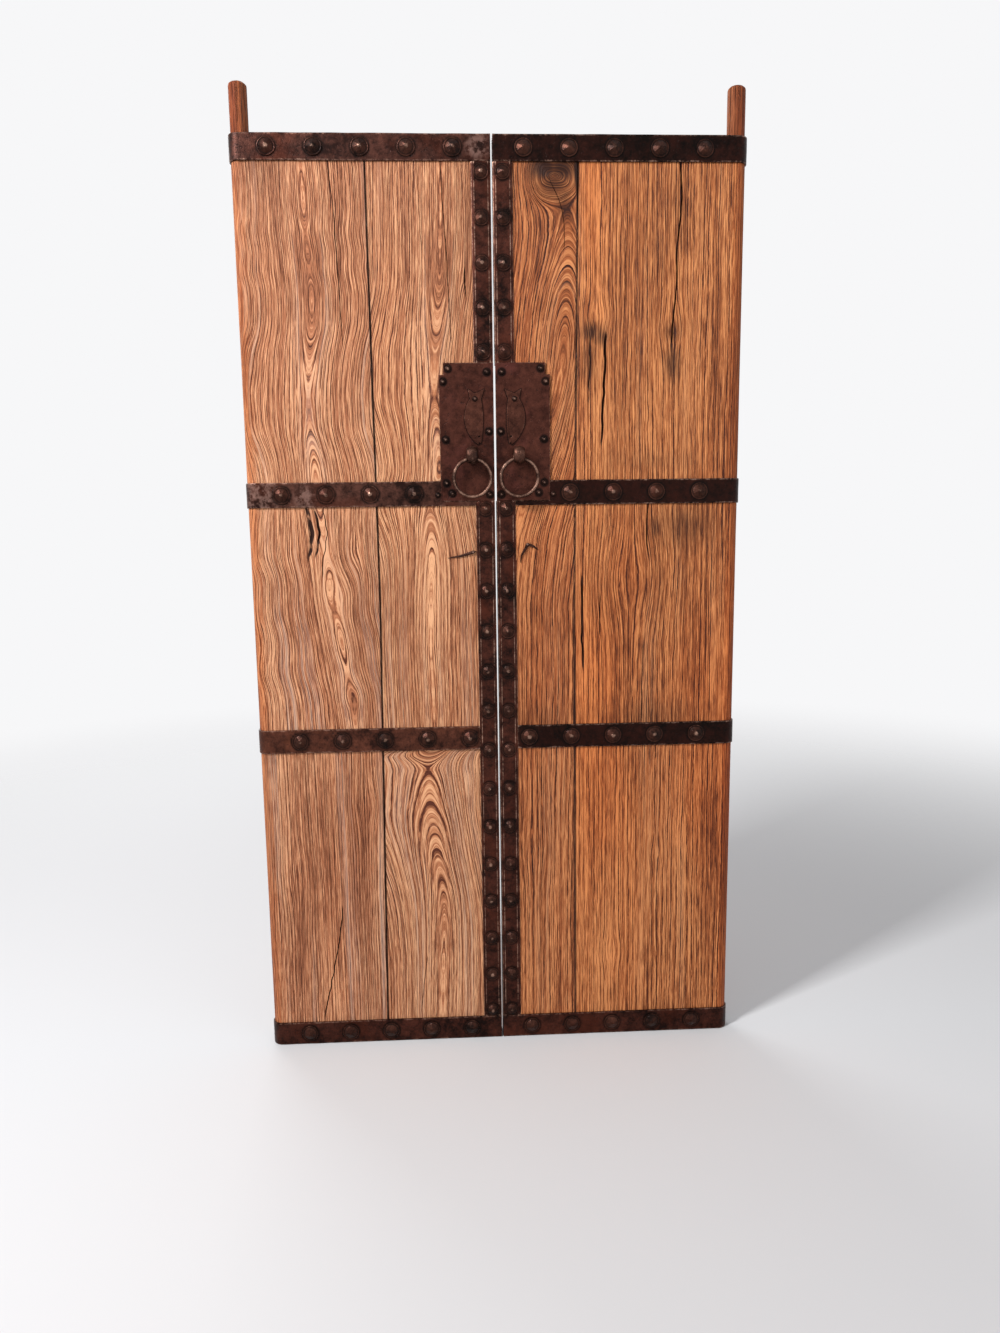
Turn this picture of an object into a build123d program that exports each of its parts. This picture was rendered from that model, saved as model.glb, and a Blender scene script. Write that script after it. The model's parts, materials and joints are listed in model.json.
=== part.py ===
"""A pair of plank door leaves bound with forged iron, to be hung on their own pivot posts.

Millimetres. +X runs to the right, +Y goes through the doorway and +Z goes up. The front is the
side with the nail heads and ring pulls, at -Y. The origin is on the floor below the seam,
midway through the thickness of the planks. Every x below is a distance from the seam, and
each leaf gives it its own sign.
"""

import os
from math import cos, pi, sqrt

from build123d import *

os.makedirs("parts", exist_ok=True)

SIDES = {"left": -1, "right": 1}

# Wooden leaves
leaf_height = 1936.0
leaf_width = 515.5
leaf_thickness = 40.0
seam_gap = 4.0
inner_plank_width = {"left": 249.0, "right": 168.0}
pivot_radius = 19.0
pivot_height = 98.0
pivot_end_bevel = 6.0
joint_bevel = 1.0

# Battens that slide in dovetailed slots across the back
upper_batten_height = 1640.0
lower_batten_height = 370.0
middle_batten_drop = 234.0
batten_width = 46.0
batten_key_width = 56.0
batten_key_depth = 16.0
batten_rise = 22.0
batten_bevel = 5.0
batten_end = 62.0
batten_setback = 46.0

# Iron straps
strap_thickness = 3.0
strap_width = 52.0
strap_return = 92.0
edge_strap_width = 40.0
edge_strap_bevel = 6.0
edge_strap_bevel_depth = 1.4
middle_strap_rise = 16.0
third_strap_height = 704.0

# Nails: a faceted head, a square shank driven through, and a point bent over on the back
nail_facets = 8
row_head_radius = 18.5
row_head_height = 9.0
edge_head_radius = 15.5
edge_head_height = 8.0
nail_rim = 1.8
nail_shank = 5.0
nail_clinch_length = 17.0
nail_clinch_thickness = 3.0
nail_pitch = 92.0
row_inset = 64.5
row_margin = 2.0
row_shift = {
    "left": {"top": 10.0, "middle": 11.0, "third": -5.0, "bottom": 2.0},
    "right": {"top": -4.0, "middle": -3.0, "third": -1.0, "bottom": 0.0},
}
edge_nail_pitch = 87.0
edge_nail_drop = 20.0
plate_nail_drop = 16.0
edge_nail_margin = 12.0

# Lock plates
plate_width = 113.0
plate_height = 281.0
plate_bottom = 1214.0
plate_thickness = 4.0
plate_notch_width = 9.5
plate_notch_height = 24.0

# Studs that hold the plates: in from the plate's sides, those below 0 from the outer one, and
# up from its bottom, those below 0 down from its top
stud_facets = 6
stud_radius = 7.0
stud_height = 4.5
stud_crown_bevel = 2.7
stud_shank = 4.0
stud_bite = 20.0
stud_spots = [
    (13.5, -19.0), (-19.0, -12.0), (-8.5, -38.0), (10.5, 142.0),
    (-12.5, 126.0), (-12.5, 37.0), (10.0, 13.0), (-24.0, 16.0),
]
strap_stud = (6.5, 13.0)

# Fish-shaped covers, each hung from one rivet near its tail; outline measured from the rivet
cover_thickness = 2.5
cover_clearance = 0.3
cover_hang_x = 41.0
cover_gap = 3.5
cover_snout_drop = 93.0
cover_snout_lean = 6.5
cover_bow = 22.0
cover_bow_drop = 38.0
cover_belly = 16.5
cover_belly_drop = 46.0
cover_neck_outer = 10.0
cover_neck_inner = 13.0
cover_tail_rise = 20.0
cover_tail_outer = 14.0
cover_tail_inner = 20.0
cover_fork_rise = 11.0
cover_mouth_depth = 6.0
cover_mouth_width = 5.0
cover_eye_radius = 2.4
cover_eye_rise = 17.0
rivet_radius = 3.0
rivet_running_clearance = 0.08
rivet_head_radius = 6.0
rivet_head_height = 4.0
rivet_head_bevel = 2.4
rivet_shank = 5.0
rivet_depth = 26.0

# Ring pulls and the split pins that carry them
ring_x = 49.0
ring_outer_radius = 43.5
ring_rod = 8.6
ring_rod_bevel = 2.5
ring_facets = 20
eye_width = 23.0
eye_outer_radius = 18.5
eye_strap = 4.5
eye_bevel = 2.6
eye_facets = 16
eye_rise = 93.0
eye_running_gap = 0.3
eye_shank_width = 10.0
eye_shank_height = 8.0
eye_leg_length = 34.0
eye_leg_thickness = 4.0

# Staples whose loops take a bar on the back and whose legs are bent over on the front; each leg
# is given by how far its tip lies outwards and upwards
staple_x = {"left": 50.0, "right": 66.0}
staple_drop = {"left": 107.0, "right": 92.0}
staple_wire = 6.0
staple_loop_radius = 21.0
staple_facets = 16
staple_leg_thickness = 4.0
staple_long_leg = {"left": (53.0, -14.0), "right": (24.0, -9.0)}
staple_short_leg = {"left": (-7.0, 2.0), "right": (-17.0, -38.0)}
staple_tip = 1.6

# Places worked out from the sizes above
front = -leaf_thickness / 2
back = leaf_thickness / 2
iron_edge = seam_gap / 2
wood_edge = iron_edge + strap_thickness
pivot_x = wood_edge + leaf_width - leaf_thickness / 2
edge_strap_end = iron_edge + edge_strap_width
return_end = pivot_x - strap_return
plate_end = iron_edge + plate_width
plate_top = plate_bottom + plate_height
strap_heights = {
    "top": leaf_height - strap_width / 2,
    "middle": plate_bottom + middle_strap_rise,
    "third": third_strap_height,
    "bottom": strap_width / 2,
}
batten_heights = {
    "upper": upper_batten_height,
    "middle": plate_bottom - middle_batten_drop,
    "lower": lower_batten_height,
}
staple_height = {name: plate_bottom - drop for name, drop in staple_drop.items()}
edge_nail_x = iron_edge + edge_strap_width / 2
plate_face = front - plate_thickness
strap_face = front - strap_thickness
cover_back = plate_face - cover_clearance
cover_face = cover_back - cover_thickness
rivet_seat = cover_face - cover_clearance
eye_height = plate_bottom + eye_rise
eye_reach = eye_outer_radius * cos(pi / eye_facets)
eye_opening = eye_reach - eye_strap
eye_y = plate_face - eye_reach
ring_radius = ring_outer_radius - ring_rod / 2
ring_bore = ring_outer_radius - ring_rod
rod_sag = ring_bore - sqrt(ring_bore**2 - (eye_width / 2) ** 2)
ring_top = eye_height - eye_opening + ring_rod / 2 + rod_sag + eye_running_gap
ring_centre = ring_top - ring_radius * cos(pi / ring_facets)
cover_hang_height = eye_height + eye_outer_radius + cover_gap + cover_snout_drop
strap_stud_place = (plate_end + strap_stud[0], plate_bottom + strap_stud[1])


def block(x_span, y_span, z_span, mode=Mode.ADD):
    """A rectangular block between two opposite corners."""
    spans = (x_span, y_span, z_span)
    with Locations(tuple((low + high) / 2 for low, high in spans)):
        Box(*(abs(high - low) for low, high in spans), mode=mode)


def spaced(start, end, pitch):
    """Places at even steps from a start down to the last that isn't past the end."""
    return [start - pitch * i for i in range(int((start - end) // pitch) + 1)]


def row_places(side, row):
    """Distances from the seam of one strap's nails, set out from the post inwards."""
    beside = strap_stud_place[0] + stud_radius if row == "middle" else edge_strap_end
    last = pivot_x - row_inset + row_shift[side][row]
    return spaced(last, beside + row_head_radius + row_margin, nail_pitch)


def edge_heights():
    """Heights of the nails down the meeting edge, above and below the lock plate."""
    above = leaf_height - strap_width - edge_nail_drop
    below = plate_bottom - plate_nail_drop
    return spaced(above, plate_top + edge_nail_margin, edge_nail_pitch) + spaced(
        below, strap_width + edge_nail_margin, edge_nail_pitch
    )


def stud_places():
    """Distance from the seam and height of each stud of the lock plate."""
    return [
        (
            iron_edge + across if across > 0 else plate_end + across,
            plate_bottom + up if up > 0 else plate_top + up,
        )
        for across, up in stud_spots
    ]


def facet_disc(radius, facets, depth, x=0.0, z=0.0):
    """A regular polygon facing -Y, a flat side up, at a depth in front of y = 0."""
    with BuildSketch(Plane.XZ.offset(depth)) as disc:
        with Locations((x, z)):
            RegularPolygon(radius, facets, rotation=180 / facets)
    return disc.sketch


def leaf_solid(side, bottom, height, grow, mode=Mode.ADD):
    """The leaf's plan, a slab with one rounded edge, grown by a skin and raised to a height."""
    start = wood_edge - grow
    with BuildSketch(Plane.XY.offset(bottom)) as plan:
        with Locations((side * (start + pivot_x) / 2, 0)):
            Rectangle(pivot_x - start, leaf_thickness + 2 * grow)
        with Locations((side * pivot_x, 0)):
            Circle(leaf_thickness / 2 + grow)
    return extrude(plan.sketch, amount=height, mode=mode)


def nail(head_radius, head_height, grip, name):
    """One nail, head towards -Y, its seat at y = 0 and its point bent upwards at the grip."""
    half = nail_shank / 2
    with BuildPart() as made:
        extrude(facet_disc(head_radius, nail_facets, 0), amount=nail_rim)
        rim = facet_disc(head_radius, nail_facets, nail_rim)
        loft([rim, Vertex(0, -head_height, 0)], ruled=True)
        with BuildSketch(Plane.YZ.offset(-half)):
            with BuildLine():
                Polyline(
                    (0, -half),
                    (grip + nail_clinch_thickness, -half),
                    (grip, nail_clinch_length),
                    (grip, half),
                    (0, half),
                    close=True,
                )
            make_face()
        extrude(amount=nail_shank)
    made.part.label = name
    return made.part


def stud(through, name):
    """One stud, head towards -Y, its seat at y = 0, driven through iron and into the wood."""
    depth = through + stud_bite
    with BuildPart() as made:
        extrude(facet_disc(stud_radius, stud_facets, 0), amount=stud_height)
        chamfer(made.faces().sort_by(Axis.Y)[0].edges(), stud_crown_bevel)
        with Locations((0, depth / 2, 0)):
            Box(stud_shank, depth, stud_shank)
    made.part.label = name
    return made.part


def shank_holes(side, places):
    """Square holes right through the leaf at each (x, z), cut from the piece being made."""
    reach = leaf_thickness + 2 * strap_thickness
    if places:
        with Locations(*[(side * x, 0, z) for x, z in places]):
            Box(nail_shank, reach, nail_shank, mode=Mode.SUBTRACT)


def finish(piece, name):
    """Label a finished piece and write it."""
    piece.part.label = name
    export_step(piece.part, f"parts/{name}.step")
    print(name, len(piece.part.solids()), round(piece.part.volume))


def leaf_cuts(name, side, low, high):
    """Slots and holes that run through planks lying between two distances from the seam."""
    rows = [(x, strap_heights[row]) for row in strap_heights for x in row_places(name, row)]
    column = [(edge_nail_x, z) for z in edge_heights()]
    near = [(x, z) for x, z in rows + column if low - nail_shank < x < high + nail_shank]
    shank_holes(side, near)
    for z in batten_heights.values():
        batten_slot(side, z)
    if low < plate_end:
        places = stud_places() + [strap_stud_place]
        with Locations(*[(side * x, front + stud_bite / 2, z) for x, z in places]):
            Box(stud_shank, stud_bite, stud_shank, mode=Mode.SUBTRACT)
        rivet_hole(side)
        eye_hole(side)
        staple_hole(name, side)


def batten_profile(z, width_at_face, rise):
    """A dovetail across the leaf's back face, wider at its root than at the face."""
    with BuildSketch(Plane.YZ) as profile:
        with BuildLine():
            Polyline(
                (back - batten_key_depth, z - batten_key_width / 2),
                (back, z - width_at_face / 2),
                (back + rise, z - width_at_face / 2),
                (back + rise, z + width_at_face / 2),
                (back, z + width_at_face / 2),
                (back - batten_key_depth, z + batten_key_width / 2),
                close=True,
            )
        make_face()
    return profile.sketch


def batten_slot(side, z):
    """The slot for one batten, open at the meeting edge."""
    profile = batten_profile(z, batten_width, 1)
    extrude(profile, amount=side * (pivot_x - batten_end), mode=Mode.SUBTRACT)


def rivet_hole(side):
    """The square blind hole of the cover's rivet."""
    half, x = rivet_shank / 2, side * cover_hang_x
    block(
        (x - half, x + half),
        (plate_face - 1, front + rivet_depth),
        (cover_hang_height - half, cover_hang_height + half),
        mode=Mode.SUBTRACT,
    )


def eye_hole(side):
    """The slot through which the split pin's legs pass."""
    half_x, half_z = eye_shank_width / 2, eye_shank_height / 2
    block(
        (side * ring_x - half_x, side * ring_x + half_x),
        (plate_face - 1, back + 1),
        (eye_height - half_z, eye_height + half_z),
        mode=Mode.SUBTRACT,
    )


def staple_hole(name, side):
    """The square hole of the staple's two legs."""
    x, z, half = side * staple_x[name], staple_height[name], staple_wire / 2
    block((x - half, x + half), (front - 1, back + 1), (z - half, z + half), mode=Mode.SUBTRACT)


def bevel_joint(side, x):
    """A shallow bevel along the front edge of a plank, where two planks meet."""
    with BuildSketch(Plane.XY) as groove:
        with BuildLine():
            Polyline(
                (side * x - joint_bevel, front),
                (side * x, front + joint_bevel),
                (side * x + joint_bevel, front),
                close=True,
            )
        make_face()
    extrude(groove.sketch, amount=leaf_height, mode=Mode.SUBTRACT)


for name, side in SIDES.items():
    joint_x = wood_edge + inner_plank_width[name]

    # Plank beside the seam
    with BuildPart() as inner_plank:
        block((side * wood_edge, side * joint_x), (front, back), (0, leaf_height))
        leaf_cuts(name, side, wood_edge, joint_x)
        bevel_joint(side, joint_x)
    finish(inner_plank, f"{name}_inner_plank")

    # Outer plank, whose rounded edge runs on upwards as the pivot post
    with BuildPart() as outer_plank:
        leaf_solid(side, 0, leaf_height, 0)
        block(
            (side * (wood_edge - 1), side * joint_x),
            (front - 1, back + 1),
            (-1, leaf_height + 1),
            mode=Mode.SUBTRACT,
        )
        with BuildSketch(Plane.XY.offset(leaf_height)):
            with Locations((side * pivot_x, 0)):
                Circle(pivot_radius)
        extrude(amount=pivot_height)
        post_end = outer_plank.edges().filter_by(GeomType.CIRCLE).group_by(Axis.Z)[-1]
        chamfer(post_end, pivot_end_bevel)
        leaf_cuts(name, side, joint_x, pivot_x)
        bevel_joint(side, joint_x)
    finish(outer_plank, f"{name}_outer_plank")

    # Battens, with their dovetailed keys running on to the iron of the meeting edge
    for place, z in batten_heights.items():
        with BuildPart() as batten:
            profile = batten_profile(z, batten_width, batten_rise)
            extrude(profile, amount=side * (pivot_x - batten_end))
            block(
                (0, side * batten_setback),
                (back, back + batten_rise),
                (z - batten_width, z + batten_width),
                mode=Mode.SUBTRACT,
            )
            block(
                (0, side * wood_edge), (0, back), (z - batten_width, z + batten_width),
                mode=Mode.SUBTRACT,
            )
            crest = batten.edges().filter_by(Axis.X).group_by(Axis.Y)[-1]
            chamfer(crest, batten_bevel)
            shank_holes(side, [(edge_nail_x, high) for high in edge_heights()
                               if abs(high - z) < batten_width])
        finish(batten, f"{name}_batten_{place}")

    # Straps across the leaf, wrapped round the rounded edge and nailed on both faces
    for row, z in strap_heights.items():
        bottom = z - strap_width / 2
        reach = leaf_thickness / 2 + strap_thickness
        wraps_seam = row in ("top", "bottom")
        with BuildPart() as strap:
            leaf_solid(side, bottom, strap_width, strap_thickness)
            leaf_solid(side, bottom, strap_width, 0, mode=Mode.SUBTRACT)
            block(
                (0, side * return_end),
                (back, reach),
                (bottom, bottom + strap_width),
                mode=Mode.SUBTRACT,
            )
            if not wraps_seam:
                block(
                    (0, side * edge_strap_end), (-reach, reach), (bottom, bottom + strap_width),
                    mode=Mode.SUBTRACT,
                )
            if row == "middle":
                block(
                    (0, side * plate_end), (-reach, 0), (plate_bottom, bottom + strap_width),
                    mode=Mode.SUBTRACT,
                )
                stud_x, stud_z = strap_stud_place
                block(
                    (side * (stud_x - stud_shank / 2), side * (stud_x + stud_shank / 2)),
                    (-reach, front),
                    (stud_z - stud_shank / 2, stud_z + stud_shank / 2),
                    mode=Mode.SUBTRACT,
                )
            shank_holes(side, [(x, z) for x in row_places(name, row)])
        finish(strap, f"{name}_strap_{row}")

    # Angles down the meeting edge, above and below the lock plate
    edge_spans = {
        "upper": (plate_top, leaf_height - strap_width),
        "lower": (strap_width, plate_bottom),
    }
    for place, (low, high) in edge_spans.items():
        with BuildPart() as edge_strap:
            with BuildSketch(Plane.XY.offset(low)):
                with BuildLine():
                    outer_face = -leaf_thickness / 2 - strap_thickness
                    slope_face = outer_face + edge_strap_bevel_depth
                    Polyline(
                        (side * iron_edge, slope_face),
                        (side * (iron_edge + edge_strap_bevel), outer_face),
                        (side * (edge_strap_end - edge_strap_bevel), outer_face),
                        (side * edge_strap_end, slope_face),
                        (side * edge_strap_end, front),
                        (side * wood_edge, front),
                        (side * wood_edge, back),
                        (side * iron_edge, back),
                        close=True,
                    )
                make_face()
            extrude(amount=high - low)
            shank_holes(side, [(edge_nail_x, z) for z in edge_heights() if low < z < high])
        finish(edge_strap, f"{name}_edge_strap_{place}")

    # Nails of the four straps; those nearest the post also go through the strap's return
    through_wood = leaf_thickness + strap_thickness
    through_return = through_wood + strap_thickness
    row_nail = nail(row_head_radius, row_head_height, through_wood, "row nail")
    post_nail = nail(row_head_radius, row_head_height, through_return, "post nail")
    edge_nail = nail(edge_head_radius, edge_head_height, through_wood, "edge nail")
    for row, z in strap_heights.items():
        with BuildPart() as row_nails:
            for x in row_places(name, row):
                with Locations((side * x, strap_face, z)):
                    add(post_nail if x > return_end else row_nail)
        finish(row_nails, f"{name}_nails_{row}")
    with BuildPart() as edge_nails:
        with Locations(*[(side * edge_nail_x, strap_face, z) for z in edge_heights()]):
            add(edge_nail)
    finish(edge_nails, f"{name}_nails_edge")

    # Half of the lock plate, notched at its upper outer corner
    with BuildPart() as lock_plate:
        with BuildSketch(Plane.XZ.offset(-front)):
            with BuildLine():
                Polyline(
                    (side * iron_edge, plate_bottom),
                    (side * plate_end, plate_bottom),
                    (side * plate_end, plate_top - plate_notch_height),
                    (side * (plate_end - plate_notch_width), plate_top - plate_notch_height),
                    (side * (plate_end - plate_notch_width), plate_top),
                    (side * iron_edge, plate_top),
                    close=True,
                )
            make_face()
            with Locations(*[(side * x, z) for x, z in stud_places()]):
                Rectangle(stud_shank, stud_shank, mode=Mode.SUBTRACT)
            with Locations((side * cover_hang_x, cover_hang_height)):
                Rectangle(rivet_shank, rivet_shank, mode=Mode.SUBTRACT)
            with Locations((side * ring_x, eye_height)):
                Rectangle(eye_shank_width, eye_shank_height, mode=Mode.SUBTRACT)
        extrude(amount=plate_thickness)
    finish(lock_plate, f"{name}_lock_plate")

    # Studs of the lock plate, and the one that holds the middle strap beside it
    with BuildPart() as studs:
        with Locations(*[(side * x, plate_face, z) for x, z in stud_places()]):
            add(stud(plate_thickness, "plate stud"))
        with Locations((side * strap_stud_place[0], strap_face, strap_stud_place[1])):
            add(stud(strap_thickness, "strap stud"))
    finish(studs, f"{name}_plate_studs")

    # Fish-shaped cover: bowed away from the seam, tail forked above its rivet, mouth open below
    with BuildPart() as cover:
        with BuildSketch(Plane.XZ.offset(-cover_back)) as fish:
            with BuildLine():
                hang = Vector(side * cover_hang_x, cover_hang_height)
                snout = hang + Vector(-side * cover_snout_lean, -cover_snout_drop)
                mouth = snout + Vector(-side * cover_mouth_width / 4, cover_mouth_depth)
                jaw = snout + Vector(-side * cover_mouth_width, cover_mouth_depth / 3)
                belly = hang + Vector(-side * cover_belly, -cover_belly_drop)
                bow = hang + Vector(side * cover_bow, -cover_bow_drop)
                neck_outer = hang + Vector(side * cover_neck_outer, 0)
                neck_inner = hang + Vector(-side * cover_neck_inner, 0)
                tail_outer = hang + Vector(side * cover_tail_outer, cover_tail_rise)
                tail_inner = hang + Vector(-side * cover_tail_inner, cover_tail_rise)
                fork = hang + Vector(0, cover_fork_rise)
                ThreePointArc(neck_outer, bow, snout)
                Polyline(snout, mouth, jaw)
                ThreePointArc(jaw, belly, neck_inner)
                Polyline(neck_inner, tail_inner, fork, tail_outer, neck_outer)
            make_face()
            with Locations(hang):
                Circle(rivet_radius + rivet_running_clearance, mode=Mode.SUBTRACT)
            with Locations(snout + Vector(-side * cover_mouth_width / 4, cover_eye_rise)):
                RegularPolygon(cover_eye_radius, stud_facets, mode=Mode.SUBTRACT)
        extrude(amount=cover_thickness)
    finish(cover, f"{name}_fish_cover")

    # Rivet on which the cover swings: round through the cover, square in the plate and wood
    with BuildPart() as rivet:
        hang_x = side * cover_hang_x
        head = facet_disc(rivet_head_radius, nail_facets, -rivet_seat, hang_x, cover_hang_height)
        extrude(head, amount=rivet_head_height)
        chamfer(rivet.faces().sort_by(Axis.Y)[0].edges(), rivet_head_bevel)
        with BuildSketch(Plane.XZ.offset(-plate_face)):
            with Locations((hang_x, cover_hang_height)):
                Circle(rivet_radius)
        extrude(amount=plate_face - rivet_seat)
        half = rivet_shank / 2
        block(
            (hang_x - half, hang_x + half),
            (plate_face, front + rivet_depth),
            (cover_hang_height - half, cover_hang_height + half),
        )
    finish(rivet, f"{name}_cover_rivet")

    # Split pin that carries the ring: a thick strap bent into an eye, legs spread behind
    with BuildPart() as eye:
        with BuildSketch(Plane.YZ.offset(side * ring_x - eye_width / 2)):
            with Locations((eye_y, eye_height)):
                RegularPolygon(eye_outer_radius, eye_facets, rotation=180 / eye_facets)
        extrude(amount=eye_width)
        chamfer(eye.faces().filter_by(Axis.X).edges(), eye_bevel)
        with BuildSketch(Plane.YZ.offset(side * ring_x - eye_width / 2)):
            with Locations((eye_y, eye_height)):
                RegularPolygon(eye_opening, eye_facets, False, rotation=180 / eye_facets)
        extrude(amount=eye_width, mode=Mode.SUBTRACT)
        half_x, half_z = eye_shank_width / 2, eye_shank_height / 2
        block(
            (side * ring_x - half_x, side * ring_x + half_x),
            (plate_face - eye_strap / 2, back + eye_leg_thickness),
            (eye_height - half_z, eye_height + half_z),
        )
        block(
            (side * ring_x - half_x, side * ring_x + half_x),
            (back, back + eye_leg_thickness),
            (eye_height - eye_leg_length, eye_height + eye_leg_length),
        )
    finish(eye, f"{name}_ring_eye")

    # Ring pull, forged from rod, hanging in its eye
    with BuildPart() as ring:
        with BuildSketch(Plane.XZ.offset(-eye_y - ring_rod / 2)):
            with Locations((side * ring_x, ring_centre)):
                RegularPolygon(ring_outer_radius, ring_facets, rotation=180 / ring_facets)
                RegularPolygon(
                    ring_bore, ring_facets, rotation=180 / ring_facets, mode=Mode.SUBTRACT
                )
        extrude(amount=ring_rod)
        chamfer(ring.faces().filter_by(Axis.Y).edges(), ring_rod_bevel)
    finish(ring, f"{name}_ring_pull")

    # Staple: a loop behind for the bar, its two legs bent over on the front
    with BuildPart() as staple:
        x, z, half = side * staple_x[name], staple_height[name], staple_wire / 2
        loop_y = back + staple_loop_radius
        with BuildSketch(Plane.YZ.offset(x - half)):
            with Locations((loop_y, z)):
                RegularPolygon(staple_loop_radius, staple_facets, rotation=180 / staple_facets)
                RegularPolygon(
                    staple_loop_radius - staple_wire, staple_facets,
                    rotation=180 / staple_facets, mode=Mode.SUBTRACT,
                )
        extrude(amount=staple_wire)
        block((x - half, x + half), (front, back + half), (z - half, z + half))
        for out, up in (staple_long_leg[name], staple_short_leg[name]):
            foot = Vector(x, z)
            tip = foot + Vector(side * out, up)
            across = (tip - foot).rotate(Axis.Z, 90).normalized()
            with BuildSketch(Plane.XZ.offset(-front)):
                with BuildLine():
                    Polyline(
                        foot + across * half, tip + across * staple_tip / 2,
                        tip - across * staple_tip / 2, foot - across * half,
                        close=True,
                    )
                make_face()
            extrude(amount=staple_leg_thickness)
        block(
            (x - half, x + half),
            (front - staple_leg_thickness, front),
            (z - half, z + half),
        )
    finish(staple, f"{name}_bar_staple")
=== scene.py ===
import json
from functools import cache
from math import atan2, cos, hypot, pi, radians, sin

import bmesh
import bpy
import numpy as np
from mathutils import Matrix, Vector


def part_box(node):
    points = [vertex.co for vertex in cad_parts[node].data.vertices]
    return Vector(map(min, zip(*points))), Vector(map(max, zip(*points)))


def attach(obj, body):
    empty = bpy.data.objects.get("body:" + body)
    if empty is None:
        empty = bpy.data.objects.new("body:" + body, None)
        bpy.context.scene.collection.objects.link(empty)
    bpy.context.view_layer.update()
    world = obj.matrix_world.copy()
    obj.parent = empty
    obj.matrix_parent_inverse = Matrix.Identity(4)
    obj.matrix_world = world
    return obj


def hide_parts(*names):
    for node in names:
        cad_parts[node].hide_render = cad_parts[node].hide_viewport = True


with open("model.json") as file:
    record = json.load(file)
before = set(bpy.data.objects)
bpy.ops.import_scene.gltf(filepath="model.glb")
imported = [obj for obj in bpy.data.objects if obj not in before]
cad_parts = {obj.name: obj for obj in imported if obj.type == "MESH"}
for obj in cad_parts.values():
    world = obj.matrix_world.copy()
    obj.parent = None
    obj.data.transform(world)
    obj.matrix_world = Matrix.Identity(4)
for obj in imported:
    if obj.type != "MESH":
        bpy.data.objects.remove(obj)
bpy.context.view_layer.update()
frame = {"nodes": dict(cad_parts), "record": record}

# A pair of plank door leaves bound with forged iron. Metres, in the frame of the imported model:
# the seam is at x = 0, the nail heads face -y and the leaves stand on z = 0. Distances called
# out are measured from the seam and get the sign of their side.

MM = 0.001
SIDES = {"left": -1, "right": 1}

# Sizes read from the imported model
plank_low, plank_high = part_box("right_inner_plank")
wood_edge, front = plank_low.x, plank_low.y
back, leaf_top = plank_high.y, plank_high.z
edge_radius = back
post_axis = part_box("right_outer_plank")[1].x - edge_radius
post_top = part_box("right_outer_plank")[1].z
post_radius = MM * next(
    mount["dims"]["r_mm"] for mount in frame["record"]["mounts"] if mount["name"] == "right_top_pivot"
)
iron_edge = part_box("right_edge_strap_lower")[0].x
edge_strap_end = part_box("right_edge_strap_lower")[1].x
strap_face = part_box("right_strap_third")[0].y
strap_thickness = -strap_face - back
strap_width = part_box("right_strap_bottom")[1].z
plate_low, plate_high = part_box("right_lock_plate")
plate_face, plate_bottom = plate_low.y, plate_low.z
plate_end, plate_top = plate_high.x, plate_high.z


# Shader wiring

class Wire:
    """One output socket. Arithmetic on it adds Math nodes to the same tree."""

    def __init__(self, shader, socket):
        self.shader, self.socket = shader, socket

    def __add__(self, other):
        return self.shader.maths("ADD", self, other)

    def __radd__(self, other):
        return self.shader.maths("ADD", other, self)

    def __sub__(self, other):
        return self.shader.maths("SUBTRACT", self, other)

    def __rsub__(self, other):
        return self.shader.maths("SUBTRACT", other, self)

    def __mul__(self, other):
        return self.shader.maths("MULTIPLY", self, other)


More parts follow.
